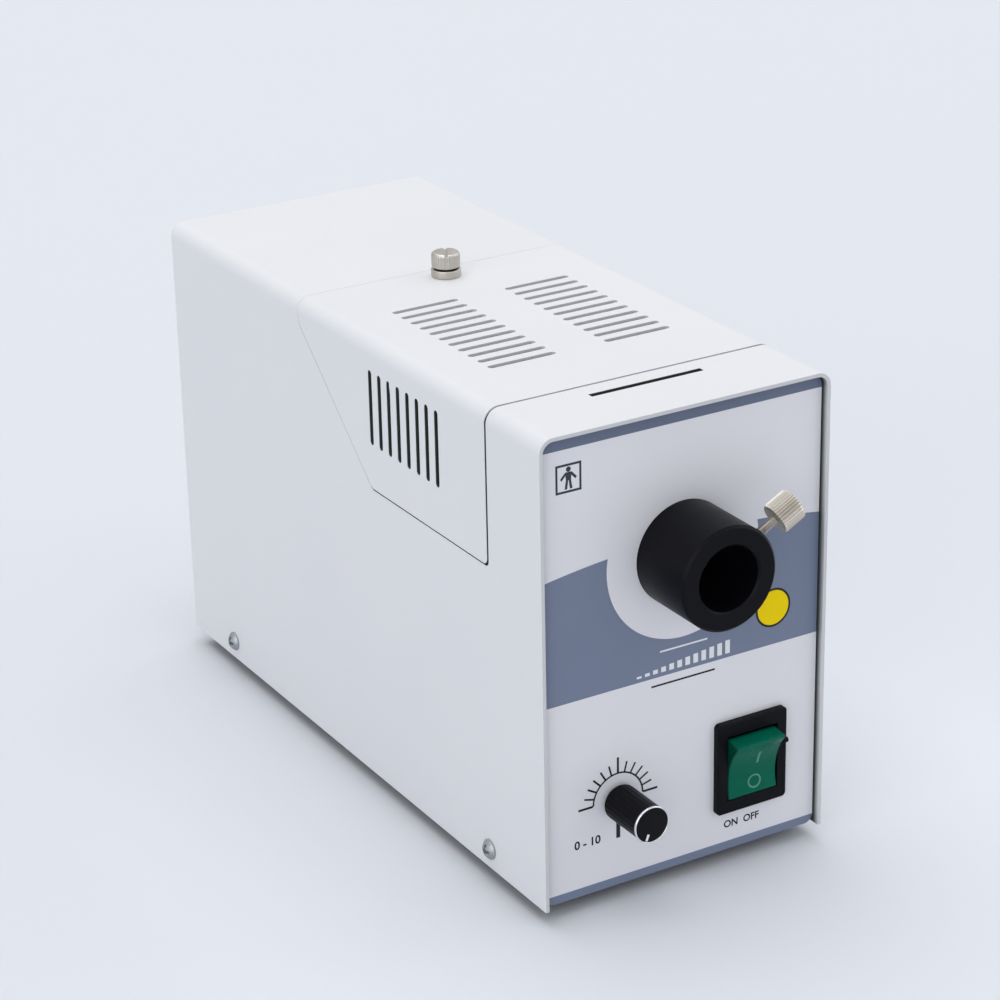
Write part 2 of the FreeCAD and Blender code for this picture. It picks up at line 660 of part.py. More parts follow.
def lamp_reflector():
    """Facetless dichroic glass reflector: rim, curved bowl and rear neck."""
    bowl = [(0.0, 25.0), (3.0, 25.0), (3.0, 23.0), (9.0, 21.0), (16.0, 17.5), (22.0, 13.0),
            (27.0, 8.5), (30.0, 7.0), (40.0, 7.0)]
    hollow = [(-1.0, 23.4), (1.5, 23.4), (9.0, 19.4), (16.0, 15.8), (22.0, 11.2), (26.5, 4.4), (30.0, 4.4)]
    base = Vector(0, LAMP_FACE, PORT_Z)
    return turned(bowl, base, (0, 1, 0)).cut(turned(hollow, base, (0, 1, 0)))


def lamp_capsule():
    """Quartz bulb on the lamp's axis, and the two contact pins at the back of the lamp."""
    base = Vector(0, LAMP_FACE, PORT_Z)
    bulb = turned([(8.0, 0.6), (10.0, 3.6), (13.0, 4.3), (30.0, 4.3)], base, (0, 1, 0))
    pins = [rod_y(dx, PORT_Z, 0.75, LAMP_FACE + 40, LAMP_FACE + 47) for dx in (-2.65, 2.65)]
    return [bulb] + pins


def lamp_holder():
    """Ceramic plug-in holder on the lamp's pins."""
    y0 = LAMP_FACE + 40.2
    body = slab_y(rectangle(-9, 9, PORT_Z - 5, PORT_Z + 5), [2] * 4, y0, y0 + 12)
    return body.cut([rod_y(dx, PORT_Z, 0.8, y0 - 1, y0 + 7) for dx in (-2.65, 2.65)])


def lamp_spring():
    """Wire ring that presses the lamp's rim against its bracket, with two hooks to the bracket."""
    wire = 0.6
    y = LAMP_FACE - wire
    ring = Part.makeTorus(24.0, wire, Vector(0, y, PORT_Z), Vector(0, 1, 0))
    hooks = []
    for side in (-1, 1):
        out = side * 26.4
        hooks.append(rod_x(y, PORT_Z, wire, min(side * 24.2, out), max(side * 24.2, out)))
        hooks.append(rod_y(out, PORT_Z, wire + 0.1, y - wire - 0.1, LAMP_FACE + 3))
    return joined(ring, *hooks)


def thermal_cutout():
    """Thermal switch on the bridge beside the lamp."""
    return rod_z(-32, 82, 6.0, BRIDGE_TOP, BRIDGE_TOP + 6)


# ---------------------------------------------------------------- electronics

BOARD_Z = 9.0
BOARD_SHEET = 1.6


def board_corners():
    return [(x, y) for x in (-34, 34) for y in (52, 108)]


def board_posts():
    """Nylon spacers whose split heads snap through the board's corner holes."""
    neck = BOARD_Z - FLOOR_TOP
    top = neck + BOARD_SHEET
    profile = [(0, 3.2), (neck, 3.2), (neck, 1.2), (top, 1.2), (top, 1.9), (top + 1.0, 1.9),
               (top + 3.0, 0.9)]
    return [turned(profile, Vector(x, y, FLOOR_TOP), (0, 0, 1)) for x, y in board_corners()]


def control_board():
    board = block(-38, 38, 48, 112, BOARD_Z, BOARD_Z + BOARD_SHEET)
    return board.cut([rod_z(x, y, 1.2, BOARD_Z - 1, BOARD_Z + 3) for x, y in board_corners()])


def heat_sink():
    """Finned aluminium block for the triac."""
    top = BOARD_Z + BOARD_SHEET
    base = block(8, 11, 62, 98, top, top + 34)
    fins = [block(11, 22, 62 + 6.8 * i, 64 + 6.8 * i, top, top + 34) for i in range(6)]
    return joined(base, *fins)


def triac():
    top = BOARD_Z + BOARD_SHEET
    case = block(3.5, 8, 75, 85, top + 12, top + 27)
    legs = [block(5, 5.8, 77.1 + 2.54 * i, 77.9 + 2.54 * i, top, top + 12) for i in range(3)]
    return joined(case, *legs)


def board_capacitors():
    top = BOARD_Z + BOARD_SHEET
    film = block(-32, -14, 60, 68, top, top + 15)
    cans = [rod_z(-6, y, 5.0, top, top + 20) for y in (66, 92)]
    return [film] + cans


def choke():
    """Wound ring core that suppresses the dimmer's interference."""
    top = BOARD_Z + BOARD_SHEET
    return Part.makeTorus(8.5, 3.5, Vector(-24, 85, top + 3.5), Vector(0, 0, 1))


def terminal_strip():
    top = BOARD_Z + BOARD_SHEET
    strip = block(-20, 20, 103, 111, top, top + 9)
    return strip.cut([rod_z(-16 + 8 * i, 107, 2.0, top + 5, top + 10) for i in range(5)])


CORE_Y0, CORE_Y1 = 141.0, 189.0
CORE_HALF = 42.0
CORE_TOP = 70.5
YOKE = 14.0


def transformer_core():
    """Stack of laminations: centre leg between two windows."""
    stack = block(-CORE_HALF, CORE_HALF, CORE_Y0, CORE_Y1, FLOOR_TOP, CORE_TOP)
    windows = [block(min(s * YOKE, s * 2 * YOKE), max(s * YOKE, s * 2 * YOKE), CORE_Y0 - 1, CORE_Y1 + 1,
                     FLOOR_TOP + YOKE, CORE_TOP - YOKE) for s in (-1, 1)]
    bolts = [rod_y(x, z, 2.0, CORE_Y0 - 1, CORE_Y1 + 1) for x, z in bolt_places()]
    return stack.cut(windows + bolts)


def bolt_places():
    return [(x, z) for x in (-37, 37) for z in (FLOOR_TOP + 6, CORE_TOP - 6)]


def transformer_coil():
    """Wound bobbin round the centre leg."""
    outline = rectangle(-2 * YOKE + 0.3, 2 * YOKE - 0.3, CORE_Y0 - 12, CORE_Y1 + 12)
    coil = slab_z(outline, [9] * 4, FLOOR_TOP + YOKE + 0.4, CORE_TOP - YOKE - 0.4)
    return coil.cut(block(-YOKE, YOKE, CORE_Y0, CORE_Y1, 0, CORE_TOP))


def transformer_brackets():
    """Angles bolted to the front and rear of the core and screwed to the tray."""
    front = joined(block(-CORE_HALF, CORE_HALF, CORE_Y0 - 1.5, CORE_Y0, FLOOR_TOP, FLOOR_TOP + 12),
                   block(-CORE_HALF, CORE_HALF, CORE_Y0 - 12, CORE_Y0, FLOOR_TOP, FLOOR_TOP + 1.5))
    rear = joined(block(-CORE_HALF, CORE_HALF, CORE_Y1, CORE_Y1 + 1.5, FLOOR_TOP, FLOOR_TOP + 12),
                  block(-CORE_HALF, CORE_HALF, CORE_Y1, CORE_Y1 + 12, FLOOR_TOP, FLOOR_TOP + 1.5))
    holes = [rod_y(x, FLOOR_TOP + 6, 2.0, CORE_Y0 - 3, CORE_Y1 + 3) for x in (-37, 37)]
    return [front.cut(holes), rear.cut(holes)]


def transformer_bolts():
    bolts = []
    for x, z in bolt_places():
        lower = z < CORE_TOP / 2
        reach = 1.5 if lower else 0.0
        head = hexagon(Vector(x, CORE_Y0 - reach - 2.8, z), (0, 1, 0), 7.0, 2.8)
        shank = rod_y(x, z, 2.0, CORE_Y0 - reach, CORE_Y1 + reach)
        nut = hexagon(Vector(x, CORE_Y1 + reach, z), (0, 1, 0), 7.0, 3.2)
        bolts.append(joined(head, shank, nut))
    return bolts


# ---------------------------------------------------------------- rear panel

def fan_corner_places():
    half = FAN_HOLE_SPACING / 2
    return [(sx * half, FAN_Z + sz * half) for sx in (-1, 1) for sz in (-1, 1)]


def rear_panel():
    plate = panel_plate(REAR_BACK, REAR_FACE, PANEL_HALF, PANEL_BOTTOM, PANEL_TOP)
    foot = block(-40, 40, REAR_BACK - 9, REAR_BACK, FLOOR_TOP, FLOOR_TOP + PANEL_SHEET)
    cuts = [rod_y(0, FAN_Z, FAN_THROAT, REAR_BACK - 1, REAR_FACE + 1)]
    cuts += [rod_y(x, z, 2.2, REAR_BACK - 1, REAR_FACE + 1) for x, z in fan_corner_places()]
    cuts.append(block(-14.2, 14.2, REAR_BACK - 1, REAR_FACE + 1, INLET_Z - 11, INLET_Z + 20))
    cuts += [rod_y(s * INLET_SCREW_SPACING / 2, INLET_Z, 1.6, REAR_BACK - 1, REAR_FACE + 1)
             for s in (-1, 1)]
    return joined(plate, foot).cut(cuts)


FAN_FRONT = REAR_BACK - FAN_DEPTH
HUB_RADIUS = 18.5


def fan_frame():
    """Square fan body with a round throat, and four struts to the motor plate at its rear."""
    half = FAN_SIZE / 2
    body = slab_y(rectangle(-half, half, FAN_Z - half, FAN_Z + half), [5] * 4, FAN_FRONT, REAR_BACK)
    body = body.cut(rod_y(0, FAN_Z, FAN_THROAT, FAN_FRONT - 1, REAR_BACK + 1))
    plate = rod_y(0, FAN_Z, HUB_RADIUS, REAR_BACK - 3.5, REAR_BACK)
    struts = [block(-39, -17, REAR_BACK - 3.5, REAR_BACK, FAN_Z - 1.8, FAN_Z + 1.8),
              block(17, 39, REAR_BACK - 3.5, REAR_BACK, FAN_Z - 1.8, FAN_Z + 1.8),
              block(-1.8, 1.8, REAR_BACK - 3.5, REAR_BACK, FAN_Z - 39, FAN_Z - 17),
              block(-1.8, 1.8, REAR_BACK - 3.5, REAR_BACK, FAN_Z + 17, FAN_Z + 39)]
    holes = [rod_y(x, z, 2.2, FAN_FRONT - 1, REAR_BACK + 1) for x, z in fan_corner_places()]
    bearing = rod_y(0, FAN_Z, 1.5 + RUNNING_FIT, REAR_BACK - 4, REAR_BACK - 1)
    return joined(body, plate, *struts).cut(holes + [bearing])


def fan_blade(angle):
    """One pitched blade: a thin slab between hub and tip, leaning across the throat."""
    chord, thickness = 17.0, 1.5
    tip = FAN_THROAT - 1.3
    middle = FAN_FRONT + 10.5
    blade = block(HUB_RADIUS - 3, tip + 2, middle - chord / 2, middle + chord / 2,
                  FAN_Z - thickness / 2, FAN_Z + thickness / 2)
    blade.rotate(Vector(0, middle, FAN_Z), Vector(1, 0, 0), 40)
    blade = blade.common(rod_y(0, FAN_Z, tip, FAN_FRONT, REAR_BACK))
    blade.rotate(Vector(0, 0, FAN_Z), Vector(0, 1, 0), angle)
    return blade


def fan_rotor():
    """Hub with seven blades and its shaft."""
    hub = turned([(0, HUB_RADIUS - 2), (1.5, HUB_RADIUS - 0.5), (19.5, HUB_RADIUS - 0.5)],
                 Vector(0, FAN_FRONT + 1.5, FAN_Z), (0, 1, 0))
    shaft = rod_y(0, FAN_Z, 1.5, FAN_FRONT + 15, REAR_BACK - 1.5)
    blades = [fan_blade(360 / 7 * i) for i in range(7)]
    return joined(hub, shaft, *blades)


def fan_guard():
    """Wire finger guard: five rings welded to two crossing spokes that end in screw eyes."""
    wire = 0.75
    ring_y = REAR_FACE + 2.9
    rings = [Part.makeTorus(radius, wire, Vector(0, ring_y, FAN_Z), Vector(0, 1, 0))
             for radius in (8.0, 15.5, 23.0, 30.5, 37.5)]
    spokes = []
    reach = FAN_HOLE_SPACING / math.sqrt(2) - 3.6
    spoke_y = ring_y - 1.2
    for angle in (45, 135):
        spoke = rod_x(spoke_y, FAN_Z, wire, -reach, reach)
        spoke.rotate(Vector(0, 0, FAN_Z), Vector(0, 1, 0), angle)
        spokes.append(spoke)
    eyes = []
    for x, z in fan_corner_places():
        eye = rod_y(x, z, 4.2, REAR_FACE, REAR_FACE + 1.5)
        eyes.append(eye.cut(rod_y(x, z, 2.1, REAR_FACE - 1, REAR_FACE + 3)))
    return joined(rings[0], *(rings[1:] + spokes + eyes))


def fan_screws():
    screws = []
    for x, z in fan_corner_places():
        base = Vector(x, REAR_FACE + 1.5, z)
        screws.append(pan_screw(base, (0, 1, 0), 3.3, 2.0, 2.0, 12.0))
    return screws


INLET_DEPTH = 22.0
FLANGE_OUT = 3.0
TAG_X = 7.0
TAG_Z = INLET_Z - 2.0
TAG_END = REAR_FACE - INLET_DEPTH - 5.0


def mains_inlet():
    """Appliance inlet with a drawer bay above it, in one moulding on a screwed flange."""
    flange = slab_y(rectangle(-25, 25, INLET_Z - 12.5, INLET_Z + 21.5), [5, 5, 3, 3],
                    REAR_FACE, REAR_FACE + FLANGE_OUT)
    body = block(-14, 14, REAR_FACE - INLET_DEPTH, REAR_FACE, INLET_Z - 10.8, INLET_Z + 19.8)
    mouth = [(-12, INLET_Z - 8), (12, INLET_Z - 8), (12, INLET_Z + 3.4), (7.4, INLET_Z + 8),
             (-7.4, INLET_Z + 8), (-12, INLET_Z + 3.4)]
    recess = slab_y(mouth, [1.5] * 6, REAR_FACE - 15, REAR_FACE + FLANGE_OUT + 1)
    bay = block(-12, 12, REAR_FACE - 17, REAR_FACE + FLANGE_OUT + 1, DRAWER_Z - 4.2, DRAWER_Z + 4.2)
    holes = [rod_y(s * INLET_SCREW_SPACING / 2, INLET_Z, 1.6, REAR_FACE - 1, REAR_FACE + 5) for s in (-1, 1)]
    sinks = [turned([(-0.1, 1.6), (1.6, 3.1), (3, 3.1)],
                    Vector(s * INLET_SCREW_SPACING / 2, REAR_FACE + FLANGE_OUT - 1.6, INLET_Z), (0, 1, 0))
             for s in (-1, 1)]
    return joined(flange, body).cut([recess, bay] + holes + sinks)


def inlet_contacts():
    """Three contact pins in the inlet's recess, and the three solder tags at its back."""
    places = [(-TAG_X, TAG_Z), (TAG_X, TAG_Z), (0, INLET_Z + 2)]
    back = REAR_FACE - INLET_DEPTH
    pins = [block(x - 1, x + 1, REAR_FACE - 15, REAR_FACE - 3.5, z - 2, z + 2) for x, z in places]
    tags = [block(x - 2.4, x + 2.4, TAG_END, back, z - 0.4, z + 0.4) for x, z in places]
    return pins + tags


def inlet_screws():
    """Countersunk screws in the inlet's flange, with nuts behind the panel."""
    screws = []
    for side in (-1, 1):
        x = side * INLET_SCREW_SPACING / 2
        face = Vector(x, REAR_FACE + FLANGE_OUT, INLET_Z)
        head = turned([(0, 3.0), (-1.5, 1.5), (-10.0, 1.5)], face, (0, 1, 0))
        cross = star_prism(face - Vector(0, 0.9, 0), (0, 1, 0), [1.8, 0.6] * 4, 2)
        nut = hexagon(Vector(x, REAR_BACK - 2.4, INLET_Z), (0, 1, 0), 5.5, 2.4)
        screws.append(joined(head.cut(cross), nut))
    return screws


def fuse_drawer():
    """Small drawer above the inlet, with a finger lip and a bay for the fuse."""
    gap = 0.3
    front = REAR_FACE + FLANGE_OUT
    body = block(-12 + gap, 12 - gap, REAR_FACE - 14, front, DRAWER_Z - 4.2 + gap, DRAWER_Z + 4.2 - gap)
    bay = block(-10.4, 10.4, REAR_FACE - 11.5, REAR_FACE - 4.5, DRAWER_Z - 2.9, DRAWER_Z + 6)
    grip = block(-5, 5, front - 1.2, front + 1, DRAWER_Z + 1.2, DRAWER_Z + 2.6)
    return body.cut([bay, grip])


def fuse():
    """Glass tube fuse with its two metal caps, lying across the drawer."""
    y, z = REAR_FACE - 8, DRAWER_Z - 0.2
    tube = rod_x(y, z, 2.3, -10, 10)
    caps = [rod_x(y, z, 2.6, -10, -4.8), rod_x(y, z, 2.6, 4.8, 10)]
    return joined(tube, *caps)


# ---------------------------------------------------------------- thumb screw of the lamp cover

def cover_collar():
    """Flanged collar pressed into the lamp cover; the thumb screw is captive in it."""
    profile = [(-COVER_SHEET, 3.0), (0, 3.0), (0, COLLAR_RADIUS), (COLLAR_HEIGHT - 0.4, COLLAR_RADIUS),
               (COLLAR_HEIGHT, COLLAR_RADIUS - 0.4)]
    body = turned(profile, Vector(0, THUMB_Y, CASE_HEIGHT), (0, 0, 1))
    neck_hole = rod_z(0, THUMB_Y, THUMB_NECK + RUNNING_FIT, CASE_HEIGHT - 5, CASE_HEIGHT + 5)
    thread_room = rod_z(0, THUMB_Y, THREAD_M4 + 0.2, CASE_HEIGHT - 5, CASE_HEIGHT + COLLAR_HEIGHT - 0.9)
    return body.cut([neck_hole, thread_room])


def cover_thumbscrew():
    """Thumb screw: knurled head with a coin slot, thin neck that keeps it in the collar, and thread."""
    centre = Vector(0, THUMB_Y, CASE_HEIGHT)
    start = COLLAR_HEIGHT + WASHER_THICKNESS
    knurl = toothed(centre + Vector(0, 0, start), (0, 0, 1), THUMB_RADIUS - 0.25, THUMB_RADIUS, 32,
                    THUMB_HEIGHT - start)
    blank = turned([(start, THUMB_RADIUS - 0.4), (start + 0.4, THUMB_RADIUS + 0.1),
                    (THUMB_HEIGHT - 0.6, THUMB_RADIUS + 0.1), (THUMB_HEIGHT, THUMB_RADIUS - 0.6)],
                   centre, (0, 0, 1))
    slot = block(-0.5, 0.5, THUMB_Y - 6, THUMB_Y + 6, CASE_HEIGHT + THUMB_HEIGHT - 0.6,
                 CASE_HEIGHT + THUMB_HEIGHT + 1)
    slot.rotate(centre, Vector(0, 0, 1), -27)
    ledge_top = CASE_HEIGHT - HOUSING_SHEET
    neck = rod_z(0, THUMB_Y, THUMB_NECK, ledge_top - 2, CASE_HEIGHT + start + 1)
    thread = rod_z(0, THUMB_Y, THREAD_M4, ledge_top - 4.8, ledge_top - 1.2)
    return joined(knurl.common(blank).cut(slot), neck, thread)


def thumb_washer():
    """Thin black washer between the thumb screw's head and its collar."""
    start = CASE_HEIGHT + COLLAR_HEIGHT
    disc = rod_z(0, THUMB_Y, 3.9, start + 0.05, start + WASHER_THICKNESS)
    return disc.cut(rod_z(0, THUMB_Y, THUMB_NECK + RUNNING_FIT, start - 1, start + 2))


# ---------------------------------------------------------------- wiring

def lead(points, bend, radius):
    """Insulated wire along straight runs joined by tangent arcs of one bend radius."""
    corners = [points[0]]
    edges = []
    for before, here, after in zip(points, points[1:], points[2:]):
        back = (before - here).normalize()
        ahead = (after - here).normalize()
        half_angle = back.getAngle(ahead) / 2
        reach = bend / math.tan(half_angle)
        inward = (back + ahead).normalize() * (bend / math.sin(half_angle) - bend)
        edges.append(Part.LineSegment(corners[-1], here + back * reach).toShape())
        edges.append(Part.Arc(here + back * reach, here + inward, here + ahead * reach).toShape())
        corners.append(here + ahead * reach)
    edges.append(Part.LineSegment(corners[-1], points[-1]).toShape())
    path = Part.Wire(edges)
    section = Part.Wire(Part.makeCircle(radius, points[0], points[1] - points[0]))
    return path.makePipeShell([section], True, False)


def leads():
    """Two heat-proof leads from the lamp to the transformer, and two from the inlet to the switch."""
    wire, bend = 1.1, 2.4
    drop_y = (BRIDGE_REAR + CORE_Y0 - 12) / 2 - 1
    coil_z = 50.0
    runs = []
    for x in (-4, 4):
        runs.append([Vector(x, LAMP_FACE + 52.2, PORT_Z), Vector(x, drop_y, PORT_Z),
                     Vector(x, drop_y, coil_z), Vector(x, CORE_Y0 - 12, coil_z)])
    aisle_x = 43.6
    terminal_z = CONTROL_Z - 9
    turn_y = TAG_END - 3.85
    for start_x, start_turn, height, tag_x in ((SWITCH_X + 5, 42.0, 9.0, TAG_X),
                                               (SWITCH_X - 5, 38.5, 5.0, -TAG_X)):
        runs.append([Vector(start_x, 35, terminal_z), Vector(start_x, start_turn, terminal_z),
                     Vector(aisle_x, start_turn, height), Vector(aisle_x, turn_y, height),
                     Vector(tag_x, turn_y, TAG_Z), Vector(tag_x, TAG_END, TAG_Z)])
    return [lead(points, bend, wire) for points in runs]


# ---------------------------------------------------------------- all pieces

def main():
    os.makedirs("parts", exist_ok=True)
    single = {
        "housing": housing, "base_tray": base_tray, "front_panel": front_panel,
        "front_overlay": front_overlay, "rear_panel": rear_panel,
        "cover_nut": cover_nut, "light_port": light_port, "port_nut": port_nut,
        "clamp_screw": clamp_screw, "clamp_tip": clamp_tip, "brightness_knob": brightness_knob,
        "knob_ring": knob_ring, "knob_pointer": knob_pointer, "knob_insert": knob_insert,
        "control_shaft": control_shaft, "control_body": control_body, "control_nut": control_nut,
        "control_bracket": control_bracket, "switch_body": switch_body, "switch_rocker": rocker,
        "lamp_bridge": lamp_bridge, "filter_holder": filter_holder, "heat_glass": heat_glass,
        "lamp_bracket": lamp_bracket, "lamp_reflector": lamp_reflector,
        "lamp_holder": lamp_holder, "lamp_spring": lamp_spring, "thermal_cutout": thermal_cutout,
        "control_board": control_board, "heat_sink": heat_sink, "triac": triac, "choke": choke,
        "terminal_strip": terminal_strip, "transformer_core": transformer_core,
        "transformer_coil": transformer_coil, "fan_frame": fan_frame, "fan_rotor": fan_rotor,
        "fan_guard": fan_guard, "mains_inlet": mains_inlet, "fuse_drawer": fuse_drawer, "fuse": fuse,
        "lamp_cover": lamp_cover, "cover_collar": cover_collar, "cover_thumbscrew": cover_thumbscrew,
        "thumb_washer": thumb_washer,
    }
    grouped = {
        "cover_ledges": cover_ledges, "side_screws": side_screws, "rubber_feet": rubber_feet,
        "foot_screws": foot_screws, "glass_clips": glass_clips, "lamp_capsule": lamp_capsule,
        "switch_terminals": switch_terminals, "board_posts": board_posts,
        "board_capacitors": board_capacitors, "transformer_brackets": transformer_brackets,
        "transformer_bolts": transformer_bolts, "fan_screws": fan_screws, "inlet_contacts": inlet_contacts,
        "inlet_screws": inlet_screws, "leads": leads,
    }
    for node, make in single.items():
        save(node, make())
    for node, make in grouped.items():
        save(node, *make())


main()
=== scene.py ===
import math

import bmesh
import bpy
import numpy as np
from mathutils import Matrix, Vector


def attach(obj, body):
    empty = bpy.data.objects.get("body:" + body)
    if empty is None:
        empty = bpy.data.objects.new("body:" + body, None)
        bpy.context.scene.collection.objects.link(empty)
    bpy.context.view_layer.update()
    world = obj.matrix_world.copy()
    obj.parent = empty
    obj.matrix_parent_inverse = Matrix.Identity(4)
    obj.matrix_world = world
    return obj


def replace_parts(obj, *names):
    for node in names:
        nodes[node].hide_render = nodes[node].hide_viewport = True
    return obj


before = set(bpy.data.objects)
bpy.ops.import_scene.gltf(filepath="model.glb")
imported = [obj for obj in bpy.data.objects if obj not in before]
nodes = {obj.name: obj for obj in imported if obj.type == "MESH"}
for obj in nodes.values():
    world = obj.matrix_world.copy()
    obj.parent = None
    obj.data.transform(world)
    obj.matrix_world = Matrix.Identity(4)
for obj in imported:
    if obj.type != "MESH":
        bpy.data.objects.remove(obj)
scene = bpy.context.scene
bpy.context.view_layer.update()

# The pieces made here are drawn in the case's own millimetres: x = 0 is its middle, y = 0 its front rim and
# z = 0 its lower edge. CASE_ORIGIN moves them into the part's frame, whose floor is under the rubber feet.
CASE_ORIGIN = np.array([0.0, -108.45, 5.0])
CASE_HALF_WIDTH = 50.0
CASE_LENGTH = 238.0
CASE_HEIGHT = 150.0

PORT = np.array([0.0, 0.0, 103.6])
KNOB = np.array([-23.1, 0.0, 28.95])
SWITCH = np.array([24.0, 0.0, 28.95])
THUMB = np.array([0.0, 138.0, 150.0])
PRINT_Y = 2.5
INK_STEP = 0.02
FILM_HALF = 48.5
FILM_BOTTOM = 0.2
FILM_TOP = 148.2
FILM_CORNER = 3.0


# ---------------------------------------------------------------- meshes

def to_frame(points):
    """Points in the case's millimetres, as metres in the part's frame."""
    return (np.asarray(points, float).reshape(-1, 3) + CASE_ORIGIN) / 1000


def grid_faces(rows, columns, wrap_rows=False, wrap_columns=False):
    """Quads that join each point of a grid, numbered row by row, with its next neighbours."""
    row, column = np.meshgrid(np.arange(rows - (not wrap_rows)), np.arange(columns - (not wrap_columns)),
                              indexing="ij")
    below, right = (row + 1) % rows, (column + 1) % columns
    quads = [row * columns + column, row * columns + right, below * columns + right, below * columns + column]
    return np.stack(quads, -1).reshape(-1, 4)


def together(*surfaces):
    """Several (points, faces) surfaces as one."""
    starts = np.cumsum([0] + [len(points.reshape(-1, 3)) for points, _ in surfaces])
    points = np.vstack([points.reshape(-1, 3) for points, _ in surfaces])
    return points, np.vstack([faces + start for (_, faces), start in zip(surfaces, starts)])


def piece(name, surface, body, material, smooth=True, facing=None):
    """Mesh object from (points in case millimetres, faces), with coinciding points merged. Closed shapes get
    their faces turned outwards; flat ones get them turned towards facing."""
    points, faces = surface
    mesh = bpy.data.meshes.new(name)
    mesh.from_pydata(to_frame(points).tolist(), [], np.asarray(faces).tolist())
    shape = bmesh.new()
    shape.from_mesh(mesh)
    bmesh.ops.remove_doubles(shape, verts=shape.verts, dist=2e-7)
    bmesh.ops.dissolve_degenerate(shape, edges=shape.edges, dist=1e-7)
    bmesh.ops.recalc_face_normals(shape, faces=shape.faces)
    if facing is not None:
        wrong = [face for face in shape.faces if face.normal.dot(Vector(facing)) < 0]
        bmesh.ops.reverse_faces(shape, faces=wrong)
    shape.to_mesh(mesh)
    shape.free()
    mesh.polygons.foreach_set("use_smooth", [smooth] * len(mesh.polygons))
    mesh.materials.append(material)
    made = bpy.data.objects.new(name, mesh)
    scene.collection.objects.link(made)
    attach(made, body)
    return made


def sharpen(made, degrees):
    """Keeps the edges sharper than the given angle crisp in a smooth-shaded mesh."""
    made.data.set_sharp_from_angle(angle=math.radians(degrees))
    return made


def rounded_corners(profile, radius, steps=5):
    """Polyline with each inner corner replaced by an arc-like curve: a quadratic blend between the two points
    that lie a given distance before and after the corner."""
    profile = np.asarray(profile, float)
    here = profile[1:-1]
    back, ahead = profile[:-2] - here, profile[2:] - here
    back_length = np.linalg.norm(back, axis=1, keepdims=True)
    ahead_length = np.linalg.norm(ahead, axis=1, keepdims=True)
    reach = np.minimum(radius, 0.45 * np.minimum(back_length, ahead_length))
    first = (here + back / back_length * reach)[:, None, :]
    last = (here + ahead / ahead_length * reach)[:, None, :]
    t = np.linspace(0, 1, steps)[None, :, None]
    arcs = (1 - t) ** 2 * first + 2 * t * (1 - t) * here[:, None, :] + t ** 2 * last
    return np.vstack([profile[:1], arcs.reshape(-1, 2), profile[-1:]])


def across(axis):
    """Two unit vectors at right angles to the axis and to each other."""
    helper = np.array([0.0, 0.0, 1.0]) if abs(axis[2]) < 0.9 else np.array([1.0, 0.0, 0.0])
    e1 = np.cross(axis, helper)
    e1 /= np.linalg.norm(e1)
    return e1, np.cross(axis, e1)


def around_axis(base, axis, along, radius, angle):
    """Points base + along axis + radius (cos angle e1 + sin angle e2); the three arrays broadcast."""
    axis = np.asarray(axis, float) / np.linalg.norm(axis)
    e1, e2 = across(axis)
    along, radius, angle = (a[..., None] for a in np.broadcast_arrays(along, radius, angle))
    return np.asarray(base, float) + along * axis + radius * (np.cos(angle) * e1 + np.sin(angle) * e2)


def turned(profile, base, axis, segments=96, ribs=0, rib_depth=0.0, ribbed=None, sharpness=2.0):
    """Solid of revolution: profile point (s, r) lies at distance s along the axis and r from it. Where ribbed
    is 1, r is less by rib_depth |sin(ribs angle / 2)|^sharpness, which cuts that many flutes or knurls."""
    profile = np.asarray(profile, float)
    if ribs:
        segments = ribs * 8
    angle = np.arange(segments) * 2 * math.pi / segments
    groove = rib_depth * np.abs(np.sin(ribs * angle / 2)) ** sharpness
    mask = np.zeros(len(profile)) if ribbed is None else ribbed
    radius = np.maximum(profile[:, 1:] - mask[:, None] * groove, 0.0)
    points = around_axis(base, axis, profile[:, :1], radius, angle)
    return points, grid_faces(len(profile), segments, wrap_columns=True)


def stretch_mask(profile, start, end, fade=0.35):
    """1 at the profile points between start and end, fading to 0 over the last stretch at both."""
    s = profile[:, 0]
    return np.clip((s - start) / fade, 0, 1) * np.clip((end - s) / fade, 0, 1)


# ---------------------------------------------------------------- finishes

def linear(hex_colour):
    """An sRGB hex colour as linear red, green, blue and alpha."""
    srgb = np.array([int(hex_colour[i:i + 2], 16) for i in (0, 2, 4)]) / 255
    return (*np.where(srgb <= 0.04045, srgb / 12.92, ((srgb + 0.055) / 1.055) ** 2.4).tolist(), 1.0)


def add_node(material, kind, settings=None, inputs=None):
    """Adds a node. settings are its properties; inputs are its sockets' values, or sockets that feed them."""
    made = material.node_tree.nodes.new("ShaderNode" + kind)
    for name, value in (settings or {}).items():
        setattr(made, name, value)
    for name, value in (inputs or {}).items():
        if isinstance(value, bpy.types.NodeSocket):
            material.node_tree.links.new(value, made.inputs[name])
        else:
            made.inputs[name].default_value = value
    return made


